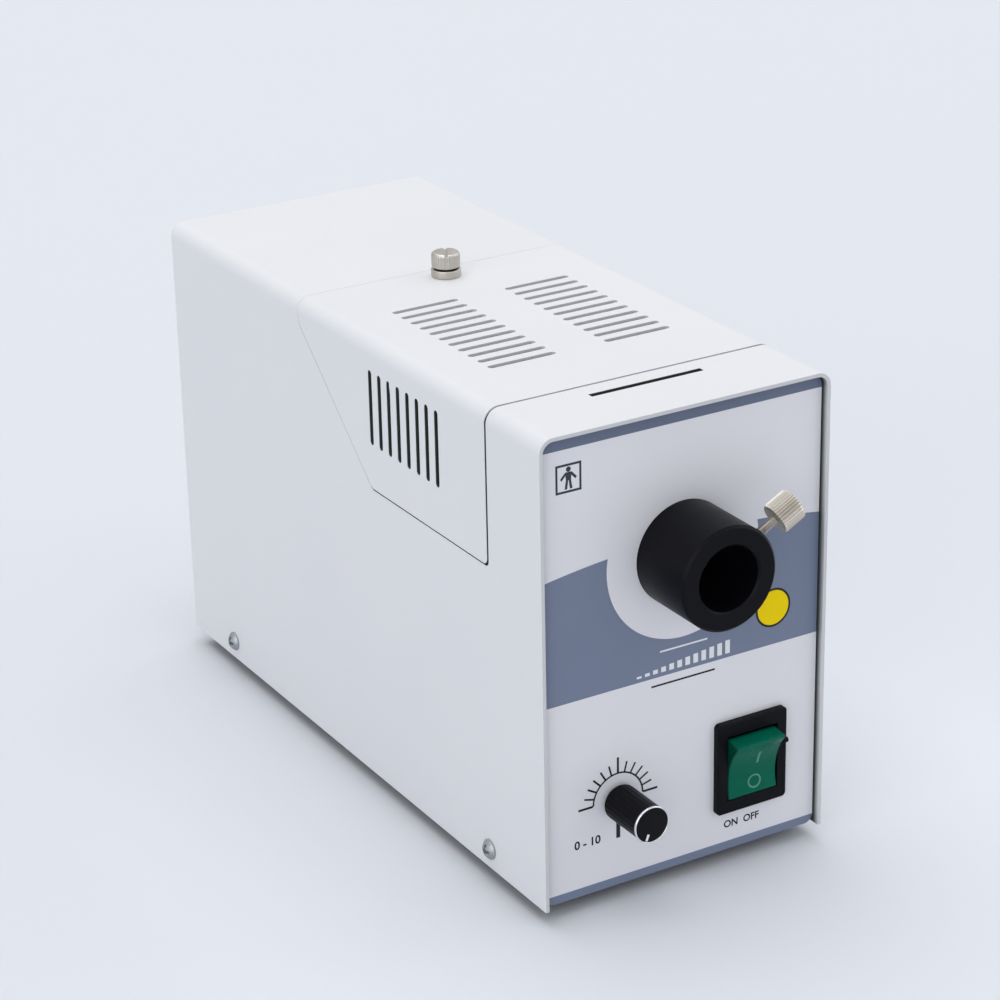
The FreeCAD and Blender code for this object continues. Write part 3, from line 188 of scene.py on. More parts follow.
def primer_and_painted_shade_inside(material, primer, roof_share):
    """Gives sheet metal a primed inner side, whose dark primer is also painted shade in the vent slots and in
    the recess round the front panel. A point's distance from a box 4.6 mm inside the case's faces is 4.6 mm
    on the painted outer face and less inside and on the cut edges: below 4.5 mm it is primed. In the roof the
    distance counts roof_share times, and 1.2 lets the paint reach 0.85 mm down the cut edges there. The front
    and rear rims are painted over, and the primer comes back over the first 2 mm inside them as painted shade
    that deepens into the recess."""
    fold, paint, shade_fade = 0.0046, 0.0045, 0.002
    half_width, roof = CASE_HALF_WIDTH / 1000 - fold, (CASE_HEIGHT + CASE_ORIGIN[2]) / 1000 - fold
    middle, rim = (CASE_LENGTH / 2 + CASE_ORIGIN[1]) / 1000, CASE_LENGTH / 2000
    place = add_node(material, "TexCoord").outputs["Object"]
    past = add_node(material, "VectorMath", {"operation": "ABSOLUTE"}, {0: place})
    past = add_node(material, "VectorMath", {"operation": "SUBTRACT"},
                    {0: past.outputs[0], 1: (half_width, 0, roof)})
    past = add_node(material, "VectorMath", {"operation": "MAXIMUM"}, {0: past.outputs[0], 1: (0, 0, 0)})
    past = add_node(material, "VectorMath", {"operation": "MULTIPLY"},
                    {0: past.outputs[0], 1: (1, 0, roof_share)})
    length = add_node(material, "VectorMath", {"operation": "LENGTH"}, {0: past.outputs[0]})
    inner = add_node(material, "Math", {"operation": "LESS_THAN"}, {0: length.outputs["Value"], 1: paint})
    depth = add_node(material, "SeparateXYZ", inputs={0: place})
    depth = add_node(material, "Math", {"operation": "SUBTRACT"}, {0: depth.outputs["Y"], 1: middle})
    depth = add_node(material, "Math", {"operation": "ABSOLUTE"}, {0: depth.outputs[0]})
    # Painted shade: the primer's share grows from 0.22 at the rims to full 2 mm inside them, darker deeper in
    # the recess.
    recess_shade = add_node(material, "MapRange", inputs={"Value": depth.outputs[0], "From Min": rim,
                                                  "From Max": rim - shade_fade, "To Min": 0.22, "To Max": 1.0})
    inner = add_node(material, "Math", {"operation": "MULTIPLY"}, {0: inner.outputs[0], 1: recess_shade.outputs[0]})
    base = material.node_tree.nodes["Principled BSDF"].inputs["Base Color"]
    mixed = add_node(material, "Mix", {"data_type": "RGBA"},
                     {0: inner.outputs[0], 6: base.links[0].from_socket, 7: linear(primer)})
    material.node_tree.links.new(mixed.outputs[2], base)


def painted_flank_shade(material, middle, start, end, share):
    """Painted shade: lowers the colour to the share of itself as |x - middle| grows from start to end, in
    metres.
    """
    place = add_node(material, "TexCoord").outputs["Object"]
    off = add_node(material, "SeparateXYZ", inputs={0: place})
    off = add_node(material, "Math", {"operation": "SUBTRACT"}, {0: off.outputs["X"], 1: middle})
    off = add_node(material, "Math", {"operation": "ABSOLUTE"}, {0: off.outputs[0]})
    kept = add_node(material, "MapRange", inputs={"Value": off.outputs[0], "From Min": start, "From Max": end,
                                                  "To Min": 1.0, "To Max": share})
    base = material.node_tree.nodes["Principled BSDF"].inputs["Base Color"]
    shaded_colour = add_node(material, "VectorMath", {"operation": "SCALE"},
                      {0: base.links[0].from_socket, "Scale": kept.outputs[0]})
    material.node_tree.links.new(shaded_colour.outputs[0], base)


def finish(name, light, dark, tone_mm, rough, grain_mm, grain_height_mm, stretch=(1, 1, 1), **sockets):
    """Material whose colour drifts between two close tones, and its roughness between two values, over
    tone_mm; grains grain_mm wide and grain_height_mm high cover it, and stretch draws the pattern out."""
    material = bpy.data.materials.new(name)
    material.use_nodes = True
    shader = material.node_tree.nodes["Principled BSDF"]
    place = add_node(material, "TexCoord").outputs["Object"]
    drawn = add_node(material, "Mapping", inputs={"Vector": place, "Scale": stretch}).outputs[0]
    tone = add_node(material, "TexNoise", inputs={"Vector": drawn, "Scale": 1000 / tone_mm, "Detail": 4.0})
    colour = add_node(material, "Mix", {"data_type": "RGBA"},
                      {0: tone.outputs[0], 6: linear(dark), 7: linear(light)})
    gloss = add_node(material, "MapRange", inputs={"Value": tone.outputs[0], "From Min": 0.3, "From Max": 0.7,
                                                   "To Min": rough[0], "To Max": rough[1]})
    grain = add_node(material, "TexNoise", inputs={"Vector": drawn, "Scale": 1000 / grain_mm, "Detail": 2.0})
    bump = add_node(material, "Bump", inputs={"Height": grain.outputs[0], "Distance": grain_height_mm / 1000})
    links = material.node_tree.links
    links.new(colour.outputs[2], shader.inputs["Base Color"])
    links.new(gloss.outputs[0], shader.inputs["Roughness"])
    links.new(bump.outputs[0], shader.inputs["Normal"])
    for socket, value in sockets.items():
        shader.inputs[socket.replace("_", " ")].default_value = value
    return material


# Stoved enamel on folded sheet: an even, faintly cool white with a soft sheen and a slight orange peel.
enamel = finish("white_stoved_enamel", "E8E9EC", "E3E4E8", 60, (0.36, 0.44), 1.6, 0.012,
                Specular_IOR_Level=0.3)
# Inside, the sheet keeps its iron-phosphate primer: a dull grey-green, nearly black. It also stands in as
# painted shade inside the vent slots and in the recess round the front panel.
primer_and_painted_shade_inside(enamel, "3E4441", 1.0)
# The lamp cover has the same enamel, which runs down into the slots of its roof and so leaves them pale.
cover_enamel = finish("white_stoved_cover_enamel", "E8E9EC", "E3E4E8", 60, (0.36, 0.44), 1.6, 0.012,
                      Specular_IOR_Level=0.3)
primer_and_painted_shade_inside(cover_enamel, "3E4441", 1.2)
# The same enamel on the front and rear panels, sprayed thinner, so a little greyer.
panel_enamel = finish("panel_enamel", "D9DBDF", "D2D5DA", 50, (0.40, 0.48), 1.4, 0.010)
# Polycarbonate film, velvet side out: its printed light field is a pale lilac grey with a fine even grain.
film = finish("velvet_film_pale", "EAEAF0", "E6E6EC", 30, (0.42, 0.50), 0.5, 0.004,
              Specular_IOR_Level=0.3)
# The same stoving enamel in black, on the base tray: dark and dull, so that little light comes from below.
tray_enamel = finish("black_stoved_enamel", "17181B", "111215", 40, (0.45, 0.55), 1.6, 0.012,
                     Specular_IOR_Level=0.3)
# Screen inks on that film take its grain: slate blue-grey bands, and black, grey, white and yellow marks.
ink_slate = finish("screen_ink_slate", "7A859D", "747F98", 30, (0.40, 0.48), 0.5, 0.004,
                   Specular_IOR_Level=0.3)
ink_deep = finish("screen_ink_deep_slate", "6B768C", "657088", 30, (0.40, 0.48), 0.5, 0.004,
                  Specular_IOR_Level=0.3)
ink_black = finish("screen_ink_black", "15161C", "101117", 10, (0.38, 0.46), 0.5, 0.003,
                   Specular_IOR_Level=0.3)
ink_grey = finish("screen_ink_grey", "333D49", "2E3843", 10, (0.38, 0.46), 0.5, 0.003,
                  Specular_IOR_Level=0.3)
ink_white = finish("screen_ink_white", "EEEFF3", "E7E9EE", 10, (0.38, 0.46), 0.5, 0.003)
ink_yellow = finish("screen_ink_yellow", "FFE008", "F9D906", 10, (0.40, 0.48), 0.5, 0.003,
                    Specular_IOR_Level=0.08)
# Turned, black-anodised aluminium: satin black, with hair-fine lathe lines round it that catch the light.
anodised = finish("black_anodised_aluminium", "08080F", "06060A", 8, (0.34, 0.44), 0.35, 0.010,
                  (0.05, 1, 0.05), Specular_IOR_Level=0.1)
# Nickel plate over turned brass: a warm silver with fine turning marks.
nickel = finish("nickel_plate", "C7C2BA", "B5AFA7", 3, (0.36, 0.48), 0.25, 0.006, Metallic=1.0)
# Polished chrome plate: bright, hard reflections.
chrome = finish("chrome_plate", "E6E7EA", "D9DADE", 6, (0.06, 0.12), 1.0, 0.001, Metallic=1.0)
# Bright zinc plate on sheet and screws: pale blue-grey metal, blotchy from the bath.
zinc = finish("zinc_plate", "B4B7BA", "989CA1", 7, (0.34, 0.52), 0.6, 0.008, Metallic=1.0)
# Stamped or turned brass: yellow metal, a little dulled.
brass = finish("brass", "D6B36A", "BF9A50", 4, (0.28, 0.42), 0.4, 0.005, Metallic=1.0)
# Moulded phenolic of the knob: deep black, smooth, with a soft gloss.
phenolic = finish("black_phenolic", "09090F", "07070B", 5, (0.30, 0.40), 0.5, 0.004, Specular_IOR_Level=0.12)
# Spark-textured nylon of switch, fan and inlet: black with an even fine matt grain.
nylon_black = finish("black_textured_nylon", "090B10", "06080B", 6, (0.42, 0.55), 0.35, 0.012,
                     Specular_IOR_Level=0.1)
# Translucent polycarbonate of the rocker: clear deep green and glossy.
green_lens = finish("green_polycarbonate", "036C54", "025B47", 12, (0.22, 0.30), 2.0, 0.004,
                    Specular_IOR_Level=0.08)
# Its colour is darkened towards its flanks: painted shade where the frame lets less light reach them.
painted_flank_shade(green_lens, SWITCH[0] / 1000, 0.0082, 0.0089, 0.4)
# The paint wiped into the rocker's moulded marks: pale green.
mark_paint = finish("pale_green_paint", "4E957D", "458B74", 4, (0.40, 0.50), 0.4, 0.003)
# Natural nylon: milky off-white, waxy.
nylon = finish("natural_nylon", "E9E6DA", "DEDACC", 5, (0.40, 0.50), 0.6, 0.004)
# Moulded rubber of the feet: matt black with a dusty grain.
rubber = finish("black_rubber", "1C1C1E", "141416", 5, (0.70, 0.85), 0.4, 0.015)
# Heat-absorbing glass: clear with a pale sea-green cast.
absorbing_glass = finish("heat_absorbing_glass", "CFE6DF", "C5DFD8", 10, (0.03, 0.06), 5.0, 0.001,
                         Transmission_Weight=0.9, IOR=1.52)
# Dichroic-coated pressed glass of the lamp's reflector: silvery with a violet sheen and small ripples.
dichroic = finish("dichroic_glass", "C9C6E0", "AEB6DA", 4, (0.08, 0.16), 2.5, 0.06, Metallic=0.7)
# Fused quartz of the bulb: clear, with a faint grey.
quartz = finish("fused_quartz", "F2F3F5", "E9EBEE", 6, (0.02, 0.05), 3.0, 0.001, Transmission_Weight=0.85,
                IOR=1.46)
# Glazed steatite of the lamp holder: creamy white, half gloss.
steatite = finish("glazed_steatite", "E8E3D4", "DDD6C5", 6, (0.22, 0.34), 0.9, 0.006)
# Fibreglass laminate under green solder mask: glossy green with a faint weave.
laminate = finish("solder_mask_laminate", "1F6B3C", "195C33", 6, (0.24, 0.34), 0.8, 0.006)
# Black-anodised extrusion of the heat sink, with lengthwise die lines.
extrusion = finish("anodised_extrusion", "26272B", "1D1E22", 5, (0.36, 0.48), 0.4, 0.01, (1, 1, 0.05),
                   Metallic=0.6)
# Moulded epoxy of the small components: charcoal, matt.
epoxy = finish("black_epoxy", "202124", "18191C", 4, (0.45, 0.58), 0.3, 0.008)
# Plastic sleeve of the capacitors: dark blue, glossy.
sleeve = finish("blue_capacitor_sleeve", "27406F", "1F355F", 5, (0.22, 0.32), 1.2, 0.004)
# Varnished electrical steel: blue-black, with the 0.5 mm laminations showing as lines stacked front to back.
laminations = finish("varnished_laminations", "4A4C52", "2B2C31", 0.6, (0.38, 0.55), 0.5, 0.03,
                     (0.02, 1, 0.02), Metallic=0.5)
# Polyester tape over the winding: amber yellow, glossy, with the ridges of the turns showing through.
coil_tape = finish("amber_polyester_tape", "D8A72C", "C39320", 4, (0.20, 0.32), 1.1, 0.05, (0.1, 0.1, 1))
# Silicone-rubber wire insulation: matt ivory.
silicone = finish("ivory_silicone", "DAD6C8", "CFCABA", 5, (0.55, 0.66), 0.5, 0.004)
# The fuse, a glass tube between plated caps, seen as pale glossy glass.
fuse_glass = finish("fuse_glass", "DCE1E1", "CDD3D4", 5, (0.05, 0.12), 1.5, 0.002, Metallic=0.3)

node_finishes = [
    (enamel, ["housing"]),
    (cover_enamel, ["lamp_cover"]),
    (tray_enamel, ["base_tray"]),
    (panel_enamel, ["front_panel", "rear_panel"]),
    (film, ["front_overlay"]),
    (anodised, ["light_port", "port_nut"]),
    (nickel, ["clamp_screw", "cover_thumbscrew", "cover_collar"]),
    (chrome, ["knob_ring", "fan_guard"]),
    (zinc, ["cover_ledges", "lamp_bridge", "lamp_bracket", "filter_holder", "control_bracket",
            "transformer_brackets", "glass_clips", "lamp_spring", "foot_screws", "fan_screws", "inlet_screws",
            "transformer_bolts", "cover_nut", "control_nut", "control_shaft", "thermal_cutout",
            "side_screws"]),
    (brass, ["knob_insert", "inlet_contacts", "switch_terminals"]),
    (phenolic, ["brightness_knob"]),
    (nylon_black, ["switch_body", "fan_frame", "fan_rotor", "mains_inlet", "fuse_drawer", "thumb_washer",
                   "control_body", "terminal_strip", "clamp_tip"]),
    (green_lens, ["switch_rocker"]),
    (ink_white, ["knob_pointer"]),
    (nylon, ["board_posts"]),
    (rubber, ["rubber_feet"]),
    (absorbing_glass, ["heat_glass"]),
    (dichroic, ["lamp_reflector"]),
    (quartz, ["lamp_capsule"]),
    (steatite, ["lamp_holder"]),
    (laminate, ["control_board"]),
    (extrusion, ["heat_sink"]),
    (epoxy, ["triac", "choke"]),
    (sleeve, ["board_capacitors"]),
    (laminations, ["transformer_core"]),
    (coil_tape, ["transformer_coil"]),
    (silicone, ["leads"]),
    (fuse_glass, ["fuse"]),
]
for material, names in node_finishes:
    for name in names:
        nodes[name].data.materials.clear()
        nodes[name].data.materials.append(material)


# ---------------------------------------------------------------- print on the front film

def ink(name, corners, material, layer=1):
    """Flat ink on the film. corners is (rows, columns, 2) x, z points of one shape, or (shapes, 4, 2) corners
    of separate quads when it is a list. Each layer lies one INK_STEP in front of the one before."""
    separate = isinstance(corners, list)
    corners = np.asarray(corners, float)
    y = np.full(corners.shape[:-1], PRINT_Y - INK_STEP * layer)
    points = np.stack([corners[..., 0], y, corners[..., 1]], -1)
    faces = np.arange(len(corners) * 4).reshape(-1, 4) if separate else grid_faces(*corners.shape[:2])
    return piece(name, (points, faces), "chassis", material, smooth=False, facing=(0, -1, 0))


def film_top(x):
    """Upper edge of the film: level, and falling along a quarter circle at each corner."""
    past = np.clip(np.abs(x) - (FILM_HALF - FILM_CORNER), 0, FILM_CORNER)
    return FILM_TOP - FILM_CORNER + np.sqrt(FILM_CORNER ** 2 - past ** 2)


def film_bottom(x):
    """Lower edge of the film, rounded at its corners in the same way."""
    return FILM_BOTTOM + FILM_TOP - film_top(x)


def band(name, low, high, material):
    """Band across the film: at each x it reaches from low(x) up to high(x)."""
    quarter = FILM_CORNER * np.sin(np.linspace(0, math.pi / 2, 9))
    x = np.concatenate([-(FILM_HALF - FILM_CORNER) - quarter[::-1], np.linspace(-44, 44, 45),
                        FILM_HALF - FILM_CORNER + quarter])
    edges = [np.stack([x, np.broadcast_to(edge(x), x.shape)], -1) for edge in (low, high)]
    return ink(name, np.stack(edges), material)


def ring(centre, inner, outer, start=0.0, end=360.0, steps=97):
    """Grid of a flat ring or ring sector; angles are degrees clockwise from the top."""
    angle = np.radians(np.linspace(start, end, steps))
    direction = np.stack([np.sin(angle), np.cos(angle)], -1)
    return np.stack([np.asarray(centre) + inner * direction, np.asarray(centre) + outer * direction])


def rays(centre, angles, inner, outer, width):
    """List of quads that point away from the centre; angles are degrees clockwise from the top."""
    angle = np.radians(np.asarray(angles, float))
    out = np.stack([np.sin(angle), np.cos(angle)], -1)[:, None, :]
    side = np.stack([np.cos(angle), -np.sin(angle)], -1)[:, None, :]
    reach = np.array([inner, outer, outer, inner])[None, :, None]
    offset = np.array([-0.5, -0.5, 0.5, 0.5])[None, :, None] * width
    return list(np.asarray(centre) + reach * out + offset * side)


def oblong(x0, x1, z0, z1):
    """Corners of an upright rectangle."""
    return np.array([(x0, z0), (x1, z0), (x1, z1), (x0, z1)])


def lettering(name, text, height, centre, material):
    """Generic letters or numbers as flat ink, height mm tall, with their middle at centre (x, z)."""
    curve = bpy.data.curves.new(name, "FONT")
    curve.body = text
    curve.resolution_u = 6
    curve.offset = 0.026
    holder = bpy.data.objects.new(name + "_outline", curve)
    scene.collection.objects.link(holder)
    bpy.context.view_layer.update()
    flat = bpy.data.meshes.new_from_object(holder.evaluated_get(bpy.context.evaluated_depsgraph_get()))
    bpy.data.objects.remove(holder)
    co = np.zeros(len(flat.vertices) * 3)
    flat.vertices.foreach_get("co", co)
    co = co.reshape(-1, 3)[:, :2]
    low, high = co.min(0), co.max(0)
    co = (co - (low + high) / 2) * height / (high[1] - low[1]) + np.asarray(centre)
    points = np.stack([co[:, 0], np.full(len(co), PRINT_Y - INK_STEP), co[:, 1]], -1)
    flat.vertices.foreach_set("co", to_frame(points).ravel())
    flat.materials.clear()
    flat.materials.append(material)
    shape = bmesh.new()
    shape.from_mesh(flat)
    bmesh.ops.reverse_faces(shape, faces=[face for face in shape.faces if face.normal.y > 0])
    shape.to_mesh(flat)
    shape.free()
    word = bpy.data.objects.new(name, flat)
    scene.collection.objects.link(word)
    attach(word, "chassis")
    return word


band("band_middle", lambda x: 65.4, lambda x: 108.8 - 0.0017 * x ** 2, ink_slate)
band("band_top", lambda x: 144.5, film_top, ink_deep)
band("band_bottom", lambda x: np.minimum(film_bottom(x), 3.0), lambda x: 3.0, ink_slate)
ink("port_halo", ring((0.0, 102.95), 14.0, 26.5), film, layer=2)

dial = np.array([-23.0, 29.1])
ink("dial_ticks", rays(dial, [a for a in range(-75, 90, 15) if a], 8.8, 12.2, 0.6)
    + rays(dial, [-90, 0, 90], 8.8, 13.9, 0.75) + rays(dial, [180], 6.4, 13.0, 1.4), ink_black)
ink("dial_arc", ring(dial, 8.4, 8.95, -90, 90, 49), ink_black, layer=2)
lettering("dial_numbers", "0 - 10", 2.9, (-33.8, 17.7), ink_black)
lettering("switch_words", "ON  OFF", 2.5, (21.7, 8.9), ink_black)

symbol = np.array([-38.95, 135.65])
ink("symbol_frame", [oblong(*(symbol[[0, 0, 1, 1]] + limits)) for limits in (
    (-4.3, 4.3, 3.7, 4.4), (-4.3, 4.3, -4.4, -3.7), (-4.3, -3.6, -3.7, 3.7), (3.6, 4.3, -3.7, 3.7))],
    ink_grey)
half_figure = np.array([[(0, 1.85), (-1.05, 1.85), (-0.85, -0.6), (0, -0.6)],
                        [(-1.05, 1.85), (-0.95, 0.85), (-2.35, -0.65), (-2.75, 0.05)],
                        [(-0.08, -0.6), (-0.85, -0.6), (-1.3, -3.3), (-0.45, -3.3)]])
ink("symbol_figure", list(symbol + half_figure) + list(symbol + half_figure * [-1, 1]), ink_grey)
ink("symbol_head", ring(symbol + [0, 2.7], 0.0, 0.8), ink_grey)

spot_place = (32.3, 77.5)
ink("spot_rim", ring(spot_place, 5.6, 6.3), ink_black, layer=2)
ink("spot", ring(spot_place, 0.0, 5.7), ink_yellow, layer=2)

step = np.arange(12)
ink("level_bars", [oblong(x, x + 1.7, 66.7, top) for x, top in zip(-16.3 + 2.85 * step, 67.4 + 0.33 * step)],
    ink_white, layer=2)
ink("fine_rule", [oblong(-8.2, 8.6, 73.2, 73.75)], ink_white, layer=3)
ink("lower_rule", [oblong(-11.2, 11.4, 62.4, 63.0)], ink_black)


# ---------------------------------------------------------------- turned pieces

# Brightness knob: fluted barrel behind the chrome ring, and a flat face just inside the ring.
knob_front = KNOB + [0, -16.0, 0]
barrel = rounded_corners([(0.35, 0.0), (0.35, 5.4), (0.65, 5.4), (0.65, 5.68), (16.8, 5.72), (17.5, 5.2),
                          (17.5, 0.0)], 0.3)
knob = piece("knob_barrel", turned(barrel, knob_front, (0, 1, 0), ribs=24, rib_depth=0.32,
                                   ribbed=stretch_mask(barrel, 1.2, 16.7), sharpness=1.2), "knob", phenolic)
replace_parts(sharpen(knob, 50), "brightness_knob")
rim = rounded_corners([(0.45, 5.38), (0.0, 5.52), (0.0, 5.74), (0.2, 5.9), (0.65, 5.9), (0.65, 5.38)], 0.12)
knob_ring = turned(np.vstack([rim, rim[:1]]), knob_front, (0, 1, 0))
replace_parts(piece("knob_chrome_ring", knob_ring, "knob", chrome), "knob_ring")

# Clamp screw: straight-knurled head on a thin threaded shank.
clamp_axis = np.array([math.sin(math.radians(62)), 0.0, math.cos(math.radians(62))])
clamp_base = PORT + [0, -13.6, 0]


def thread(base, axis, start, end, root, crest, pitch):
    """Screw thread: at distance s and turn angle t its radius is root + (crest - root) times a triangle wave
    of s / pitch - t / 2 pi, so that its ridge climbs one pitch a turn."""
    s = np.arange(start, end + 1e-9, pitch / 8)[:, None]
    t = np.arange(32)[None, :] * 2 * math.pi / 32
    phase = (s / pitch - t / (2 * math.pi)) % 1
    radius = root + (crest - root) * (1 - np.abs(2 * phase - 1))
    s = np.concatenate([s[:1], s, s[-1:]])
    radius = np.concatenate([0 * radius[:1], radius, 0 * radius[:1]])
    return around_axis(base, axis, s, radius, t), grid_faces(len(s), 32, wrap_columns=True)


clamp_head = rounded_corners([(23.4, 0.0), (23.4, 4.45), (23.9, 4.98), (30.8, 4.98), (31.4, 4.2),
                              (31.4, 0.0)], 0.3)
clamp = piece("clamp_screw_turned", together(
    turned(clamp_head, clamp_base, clamp_axis, ribs=34, rib_depth=0.5,
           ribbed=stretch_mask(clamp_head, 23.5, 31.2, 0.3), sharpness=1.0),
    thread(clamp_base, clamp_axis, 12.25, 23.6, 1.28, 1.49, 0.5)), "clamp_screw", nickel)
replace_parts(sharpen(clamp, 40), "clamp_screw")


def slotted_head(profile, base, direction, half_width, floor, ribs, rib_depth, ribbed):
    """Knurled head with an upright axis and a straight slot across its end. Every ring (s, r) of the profile
    is two arcs, t from w to pi - w and its mirror image, with sin w = half_width / r; between the arcs it
    drops to min(s, floor), which makes the slot. direction is the slot's angle from +y, and the profile ends
    at r = half_width, where the arcs shrink to points."""
    s, r = profile[:, :1], profile[:, 1:]
    width = np.where(s > floor, half_width, half_width * r / r.max())
    start = np.arcsin(np.minimum(width / np.maximum(r, 1e-9), 1))
    t = start + (math.pi - 2 * start) * np.linspace(0, 1, 145)
    radius = r - ribbed[:, None] * rib_depth * np.abs(np.sin(ribs * t / 2))
    arc = np.stack([radius * np.sin(t), radius * np.cos(t), np.broadcast_to(s, t.shape)], -1)
    mirrored = (arc * [-1, 1, 1])[:, ::-1]
    low = [half[:, [end]] * [1, 1, 0] + np.minimum(s, floor)[:, :, None] * [0, 0, 1]
           for half, end in ((arc, -1), (mirrored, 0), (mirrored, -1), (arc, 0))]
    points = np.concatenate([arc, low[0], low[1], mirrored, low[2], low[3]], 1)
    c, k = math.cos(direction), math.sin(direction)
    spin = np.array([(c, k, 0), (-k, c, 0), (0, 0, 1)])
    return points @ spin + base, grid_faces(*points.shape[:2], wrap_columns=True)


# Thumb screw of the lamp cover: knurled head with a coin slot, over its plain flanged collar.
thumb_head = rounded_corners([(3.1, 0.0), (3.1, 4.2), (3.5, 4.58), (7.4, 4.58), (8.0, 4.0), (8.0, 0.5)], 0.3)
thumb_neck = np.array([(-6.0, 0.0), (-6.0, 2.0), (-2.4, 2.0), (-2.4, 1.4), (3.2, 1.4), (3.2, 0.0)])
thumb = piece("thumb_screw_turned", together(
    slotted_head(thumb_head, THUMB, math.radians(-27), 0.5, 7.4, 36, 0.12,
                 stretch_mask(thumb_head, 3.3, 7.7, 0.3)),
    turned(thumb_neck, THUMB, (0, 0, 1))), "cover_screw", nickel)
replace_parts(sharpen(thumb, 40), "cover_thumbscrew")
collar = rounded_corners([(-1.0, 2.2), (-1.0, 3.0), (0.0, 3.0), (0.0, 4.8), (2.6, 4.8), (2.6, 1.45),
                          (1.7, 1.45), (1.7, 2.2)], 0.35)
collar = turned(np.vstack([collar, collar[:1]]), THUMB, (0, 0, 1))
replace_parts(sharpen(piece("collar_turned", collar, "lamp_cover", nickel), 40), "cover_collar")


# ---------------------------------------------------------------- cross-head screws

def cross_head(base, outward, radius, height, depth, arm, half_width, shank_radius, shank_length):
    """Domed screw head with a cross recess, and its shank. In polar form the recess ends at
    c(t) = min(arm, half_width / |sin u|), u being the angle to the nearest arm; rings inside it are shares of
    c(t) on a floor that rises outwards, and rings outside it climb the dome, whose height falls off as
    h(r) = height (1 - 0.75 (r / R)^2.4)."""
    t = np.arange(96) * 2 * math.pi / 96
    u = (t + math.pi / 4) % (math.pi / 2) - math.pi / 4
    edge = np.minimum(arm, half_width / np.maximum(np.abs(np.sin(u)), 1e-6))

    def dome(r):
        return height * (1 - 0.75 * (np.minimum(r, radius) / radius) ** 2.4)

    inside = [(dome(arm) - depth * (1 - 0.5 * share), share * 0.86 * edge) for share in (0.0, 0.5, 1.0)]
    steps = (0.0, 0.04, 0.25, 0.5, 0.75, 0.92, 1.0)
    outside = [(dome(r), r) for r in (edge + (radius - edge) * g for g in steps)]
    shank = [(0.0, radius), (0.0, shank_radius), (-shank_length, shank_radius), (-shank_length, 0.0)]
    rings = inside + outside + shank
    along = np.stack([s + 0 * t for s, _ in rings])
    reach = np.stack([r + 0 * t for _, r in rings])
    return around_axis(base, outward, along, reach, t), grid_faces(len(rings), 96, wrap_columns=True)


side_places = [(side, y) for y in (32.0, 206.0) for side in (-1, 1)]
screws = piece("side_screws_crossed", together(*[
    cross_head((side * CASE_HALF_WIDTH, y, 6.5), (side, 0, 0), 3.25, 2.2, 1.5, 2.0, 0.5, 1.5, 5.0)
    for side, y in side_places]), "chassis", zinc)
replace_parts(sharpen(screws, 35), "side_screws")
fan_places = [(sx * 35.75, 235.75, 98.0 + sz * 35.75) for sx in (-1, 1) for sz in (-1, 1)]
screws = piece("fan_screws_crossed", together(*[
    cross_head(place, (0, 1, 0), 3.3, 2.0, 1.2, 1.9, 0.42, 2.0, 12.0)
    for place in fan_places]), "chassis", zinc)
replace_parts(sharpen(screws, 35), "fan_screws")


# ---------------------------------------------------------------- rocker

ROCKER_PIVOT = np.array([0.0, 2.0, 28.95])
ROCKER_TILT = math.radians(13.5)
DISH_DEPTH, RIDGE_Z, RIDGE_Y = 2.4, 9.6, -2.5
DISH_RADIUS = (RIDGE_Z ** 2 + DISH_DEPTH ** 2) / (2 * DISH_DEPTH)


def dish_y(z):
    """Depth of the rocker's dished face, level, at height z from its middle: an arc of DISH_RADIUS."""
    return RIDGE_Y + DISH_DEPTH - DISH_RADIUS + np.sqrt(DISH_RADIUS ** 2 - z ** 2)


def tilted(points):
    """Points drawn level on the rocker, with x and z from its middle, turned to OFF about its pivot."""
    x, y, z = np.moveaxis(np.asarray(points, float), -1, 0)
    y = y - ROCKER_PIVOT[1]
    c, s = math.cos(ROCKER_TILT), math.sin(ROCKER_TILT)
    return np.stack([x + SWITCH[0], ROCKER_PIVOT[1] + y * c - z * s, ROCKER_PIVOT[2] + y * s + z * c], -1)


def rocker_surface(half_width, rounding):
    """Prism of the rocker's side outline with rounded long edges: towards each end the outline shrinks by
    rounding (1 - cos a) while x nears the end by rounding sin a."""
    z = np.linspace(-7.6, 7.6, 33)
    dish = np.stack([dish_y(z), z], -1)
    rest = [(-2.75, 10.0), (4.0, 9.4), (8.25, 4.0), (8.25, -4.0), (4.0, -9.4), (-2.75, -10.0)]
    loop = rounded_corners(np.vstack([dish[-1:], rest, dish[:1]]), 1.3, 9)
    loop = np.vstack([dish, loop[1:-1]])
    tangent = np.roll(loop, -1, 0) - np.roll(loop, 1, 0)
    tangent /= np.linalg.norm(tangent, axis=1, keepdims=True)
    inward = np.stack([tangent[:, 1], -tangent[:, 0]], -1)
    a = np.radians([90, 67.5, 45, 22.5, 0])
    end_x = half_width - rounding * (1 - np.sin(a))
    shrink = rounding * (1 - np.cos(a))
    x = np.concatenate([-end_x, end_x[::-1]])
    shrink = np.concatenate([shrink, shrink[::-1]])
    sections = loop[None] + shrink[:, None, None] * inward[None]
    middle = np.broadcast_to(loop.mean(0), (1, len(loop), 2))
    sections = np.concatenate([middle, sections, middle])
    x = np.concatenate([x[:1], x, x[-1:]])
    level = np.concatenate([np.broadcast_to(x[:, None, None], sections.shape[:2] + (1,)), sections], -1)
    return tilted(level), grid_faces(len(x), len(loop), wrap_columns=True)


rocker = piece("rocker_moulded", rocker_surface(8.9, 0.5), "rocker", green_lens)
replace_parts(sharpen(rocker, 50), "switch_rocker")


def raised_mark(name, x, z):
    """Mark that stands 0.06 mm proud of the rocker's dished face, from a grid of x and z."""
    return piece(name, (tilted(np.stack([x, dish_y(z) - 0.06, z], -1)), grid_faces(*x.shape)), "rocker",
                 mark_paint, facing=(0, -1, 0))


